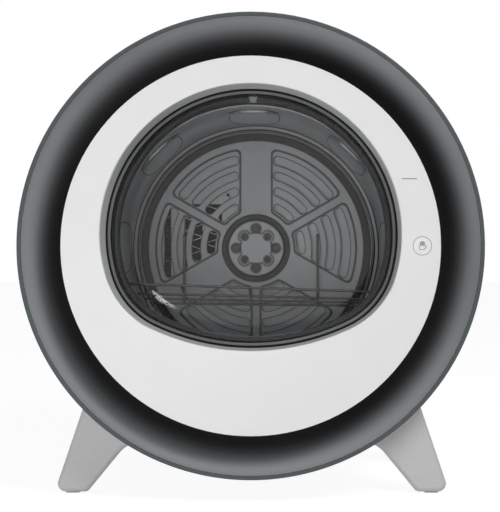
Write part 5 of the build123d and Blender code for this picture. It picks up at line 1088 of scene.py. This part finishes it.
@dataclass
class Works(SubAssembly):
    """The drive, the air path and the heater inside the casing, with the crumpled foil in its side slot.

    Attributes:
        foil_x: side place of the foil's middle.
        foil_depth: of the foil behind the front plane.
        foil_low: its lower end from the drum axis.
        foil_high: its upper end.
        foil_width: mean width of its folds.
        foil_folds: number of folds.
        foil_thick: thickness of the foil.
        foil_seed: starts the random draws of the folds.
        left_reach: least and greatest share of the width to the left of the middle.
        right_reach: the same to the right.
        tilt_reach: least and greatest tilt as a share of a fold's height.
        crumple: greatest depth of a fold's lower corner.
        upper_crumple: greatest depth and side shift of its upper corner.
    """

    foil_x: float = -115.5 * MM
    foil_depth: float = 309.5 * MM
    foil_low: float = -38.0 * MM
    foil_high: float = 48.0 * MM
    foil_width: float = 9.0 * MM
    foil_folds: int = 26
    foil_thick: float = 0.15 * MM
    foil_seed: int = 7
    left_reach: Span = (0.2, 0.6)
    right_reach: Span = (0.1, 0.6)
    tilt_reach: Span = (-0.5, 0.5)
    crumple: float = 1.5
    upper_crumple: float = 2.0

    def finishes(self) -> Dict[str, Dressing]:
        """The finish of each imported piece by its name."""
        return {
            "bearing_housing": CAST_IRON,
            "shaft_bearing": BRIGHT_STEEL,
            "heater_duct": ZINC_SHEET,
            "ptc_heater": BRIGHT_FOIL,
            "motor_body": GREY_MOULDING,
            "motor_posts": BRIGHT_STEEL,
            "motor_rotor": BRIGHT_STEEL,
            "fan_wheel": GREY_MOULDING,
            "drum_belt": RUBBER,
            "idler_arm": ZINC_SHEET,
            "idler_pulley": PALE_MOULDING,
            "idler_spring": BRIGHT_STEEL,
            "exhaust_duct": GREY_MOULDING,
            "lint_filter": GREY_MOULDING,
            "blower_housing": GREY_MOULDING,
        }

    def foil(self) -> bpy.types.Mesh:
        """Crumpled foil as a column of small bent folds, some of them turned to the front.

        Returns:
            The mesh.
        """
        chance = random.Random(self.foil_seed)
        shape = bmesh.new()
        pitch = (self.foil_high - self.foil_low) / self.foil_folds
        near = FRONT_Y + self.foil_depth
        for index in range(self.foil_folds):
            low = AXIS_Z + self.foil_low + pitch * index
            left = self.foil_x - self.foil_width * chance.uniform(*self.left_reach)
            right = self.foil_x + self.foil_width * chance.uniform(*self.right_reach)
            tilt = chance.uniform(*self.tilt_reach) * pitch
            lower = (left, near + chance.uniform(0.0, self.crumple) * MM, low)
            middle = (right, near + tilt, low + pitch * 0.4)
            upper = (left + chance.uniform(0.0, self.upper_crumple) * MM,
                     near + chance.uniform(0.0, self.upper_crumple) * MM, low + pitch)
            shape.faces.new([shape.verts.new(place) for place in (lower, middle, upper)])
        bmesh.ops.solidify(shape, geom=shape.faces[:], thickness=self.foil_thick)
        mesh = bpy.data.meshes.new("foil_edge")
        shape.to_mesh(mesh)
        shape.free()
        return mesh

    def extras(self) -> None:
        """Adds the crumpled foil."""
        add_piece("foil_edge", self.foil(), FOIL_EDGE, Body.CABINET)


@dataclass(frozen=True)
class Lamp:
    """A soft rectangular lamp that looks at the middle of the machine.

    Attributes:
        name: the lamp's name.
        place: its place in metres.
        size: its width and height in metres.
        watts: its power.
        mirrored: whether glossy surfaces show it.
    """

    name: str
    place: Point
    size: Tuple[float, float]
    watts: float
    mirrored: bool = False

    def build(self) -> None:
        """Adds the lamp to the scene."""
        data = bpy.data.lights.new(self.name, "AREA")
        data.shape = "RECTANGLE"
        data.size, data.size_y = self.size
        data.energy = self.watts
        holder = bpy.data.objects.new(self.name, data)
        holder.location = self.place
        aim = Vector((0.0, 0.0, AXIS_Z)) - Vector(self.place)
        holder.rotation_euler = aim.to_track_quat("-Z", "Y").to_euler()
        holder.visible_camera = False
        holder.visible_glossy = self.mirrored
        bpy.context.scene.collection.objects.link(holder)


@dataclass
class Studio:
    """The camera, the lamps, the floor and the pale surroundings.

    Attributes:
        distance: from the camera to the front plane.
        side: of the camera from the drum axis.
        drop: of the camera below the drum axis.
        focal_px: focal length in pixels of the picture.
        centre_px: where the camera's straight view lands in the picture.
        picture_px: width and height of the picture.
        sensor_mm: width of the camera's sensor.
        ambient: strength of the light from all round.
        ambient_colour: its linear colour.
        floor_reach: distance of the floor's edges from the middle.
        floor_bounce: tone by which the floor lights the machine.
        floor_shadow: tone of the floor's shaded part as it is seen.
        floor_lift: light of its own that the seen floor adds.
        lamps: the lamps in order.
    """

    distance: float = 1.3
    side: float = 0.0307
    drop: float = 0.0131
    focal_px: float = 1220.0
    centre_px: Tuple[float, float] = (279.5, 258.2)
    picture_px: Tuple[float, float] = (500.0, 512.0)
    sensor_mm: float = 36.0
    ambient: float = 0.25
    ambient_colour: Colour = (1.0, 1.0, 1.0)
    floor_reach: float = 12.0
    floor_bounce: float = 0.78
    floor_shadow: float = 0.26
    floor_lift: float = 0.90
    lamps: Tuple[Lamp, ...] = (
        Lamp("key_lamp", (0.9, -1.35, 1.7), (0.65, 0.65), 18.0, mirrored=True),
        Lamp("low_lamp", (-0.3, -1.1, 0.04), (0.8, 0.4), 7.0),
    )

    def camera(self) -> None:
        """Adds the camera at the photograph's place, with the shift that its framing needs."""
        data = bpy.data.cameras.new("camera")
        long_px = max(self.picture_px)
        data.sensor_width = self.sensor_mm
        data.lens = self.focal_px * self.sensor_mm / long_px
        data.shift_x = (self.picture_px[0] / 2 - self.centre_px[0]) / long_px
        data.shift_y = (self.centre_px[1] - self.picture_px[1] / 2) / long_px
        holder = bpy.data.objects.new("camera", data)
        holder.location = (self.side, FRONT_Y - self.distance, AXIS_Z - self.drop)
        holder.rotation_euler = (math.pi / 2, 0.0, 0.0)
        bpy.context.scene.collection.objects.link(holder)
        bpy.context.scene.camera = holder

    def seen_directly(self, canvas: NodeCanvas) -> Socket:
        """Tells the rays that should see the white surroundings.

        Args:
            canvas: the node tree of a material or the world.

        Returns:
            1 for rays from the camera, from gloss or through glass, else 0.
        """
        path = canvas.add("LightPath")
        gloss = canvas.math("MAXIMUM", path.outputs["Is Glossy Ray"], path.outputs["Is Transmission Ray"])
        return canvas.math("MAXIMUM", path.outputs["Is Camera Ray"], gloss)

    def floor(self) -> None:
        """Adds a wide pale floor that keeps the machine's shadow."""
        paint = bpy.data.materials.new("floor")
        canvas = NodeCanvas(paint)
        bounce = canvas.add("BsdfDiffuse")
        bounce.inputs["Color"].default_value = (*[self.floor_bounce] * 3, 1.0)
        shadow = canvas.add("BsdfDiffuse")
        shadow.inputs["Color"].default_value = (*[self.floor_shadow] * 3, 1.0)
        lift = canvas.add("Emission")
        lift.inputs["Strength"].default_value = self.floor_lift
        together = canvas.add("AddShader")
        canvas.link(shadow.outputs[0], together.inputs[0])
        canvas.link(lift.outputs[0], together.inputs[1])
        canvas.show_either(self.seen_directly(canvas), bounce, together)
        mesh = bpy.data.meshes.new("floor")
        reach = self.floor_reach
        mesh.from_pydata([(-reach, -reach, 0), (reach, -reach, 0), (reach, reach, 0), (-reach, reach, 0)], [],
                         [(0, 1, 2, 3)])
        mesh.materials.append(paint)
        ground = bpy.data.objects.new("floor", mesh)
        bpy.context.scene.collection.objects.link(ground)

    def surroundings(self) -> None:
        """Sets a soft even world light behind a white backdrop."""
        world = bpy.data.worlds.new("studio")
        canvas = NodeCanvas(world)
        light = canvas.add("Background")
        light.inputs["Color"].default_value = (*self.ambient_colour, 1.0)
        light.inputs["Strength"].default_value = self.ambient
        white = canvas.add("Background")
        white.inputs["Color"].default_value = (1.0, 1.0, 1.0, 1.0)
        canvas.show_either(self.seen_directly(canvas), light, white, "OutputWorld")
        bpy.context.scene.world = world

    def build(self) -> None:
        """Makes the camera first, then the floor, the surroundings and the lamps."""
        bpy.context.scene.view_settings.view_transform = "Standard"
        self.camera()
        self.floor()
        self.surroundings()
        for lamp in self.lamps:
            lamp.build()


def main() -> None:
    """Builds the studio and dresses every group of pieces in order."""
    logging.basicConfig(level=logging.INFO, format="%(name)s: %(message)s")
    Studio().build()
    for group in (FrontRing(), Door(), Drum(), Cabinet(), Controls(), Works()):
        group.dress()
    plain = [name for name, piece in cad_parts.items()
             if not piece.data.materials or not piece.data.materials[0].use_nodes]
    LOG.info("pieces without a finish: %s", plain or "none")


if __name__ == "__main__":
    main()
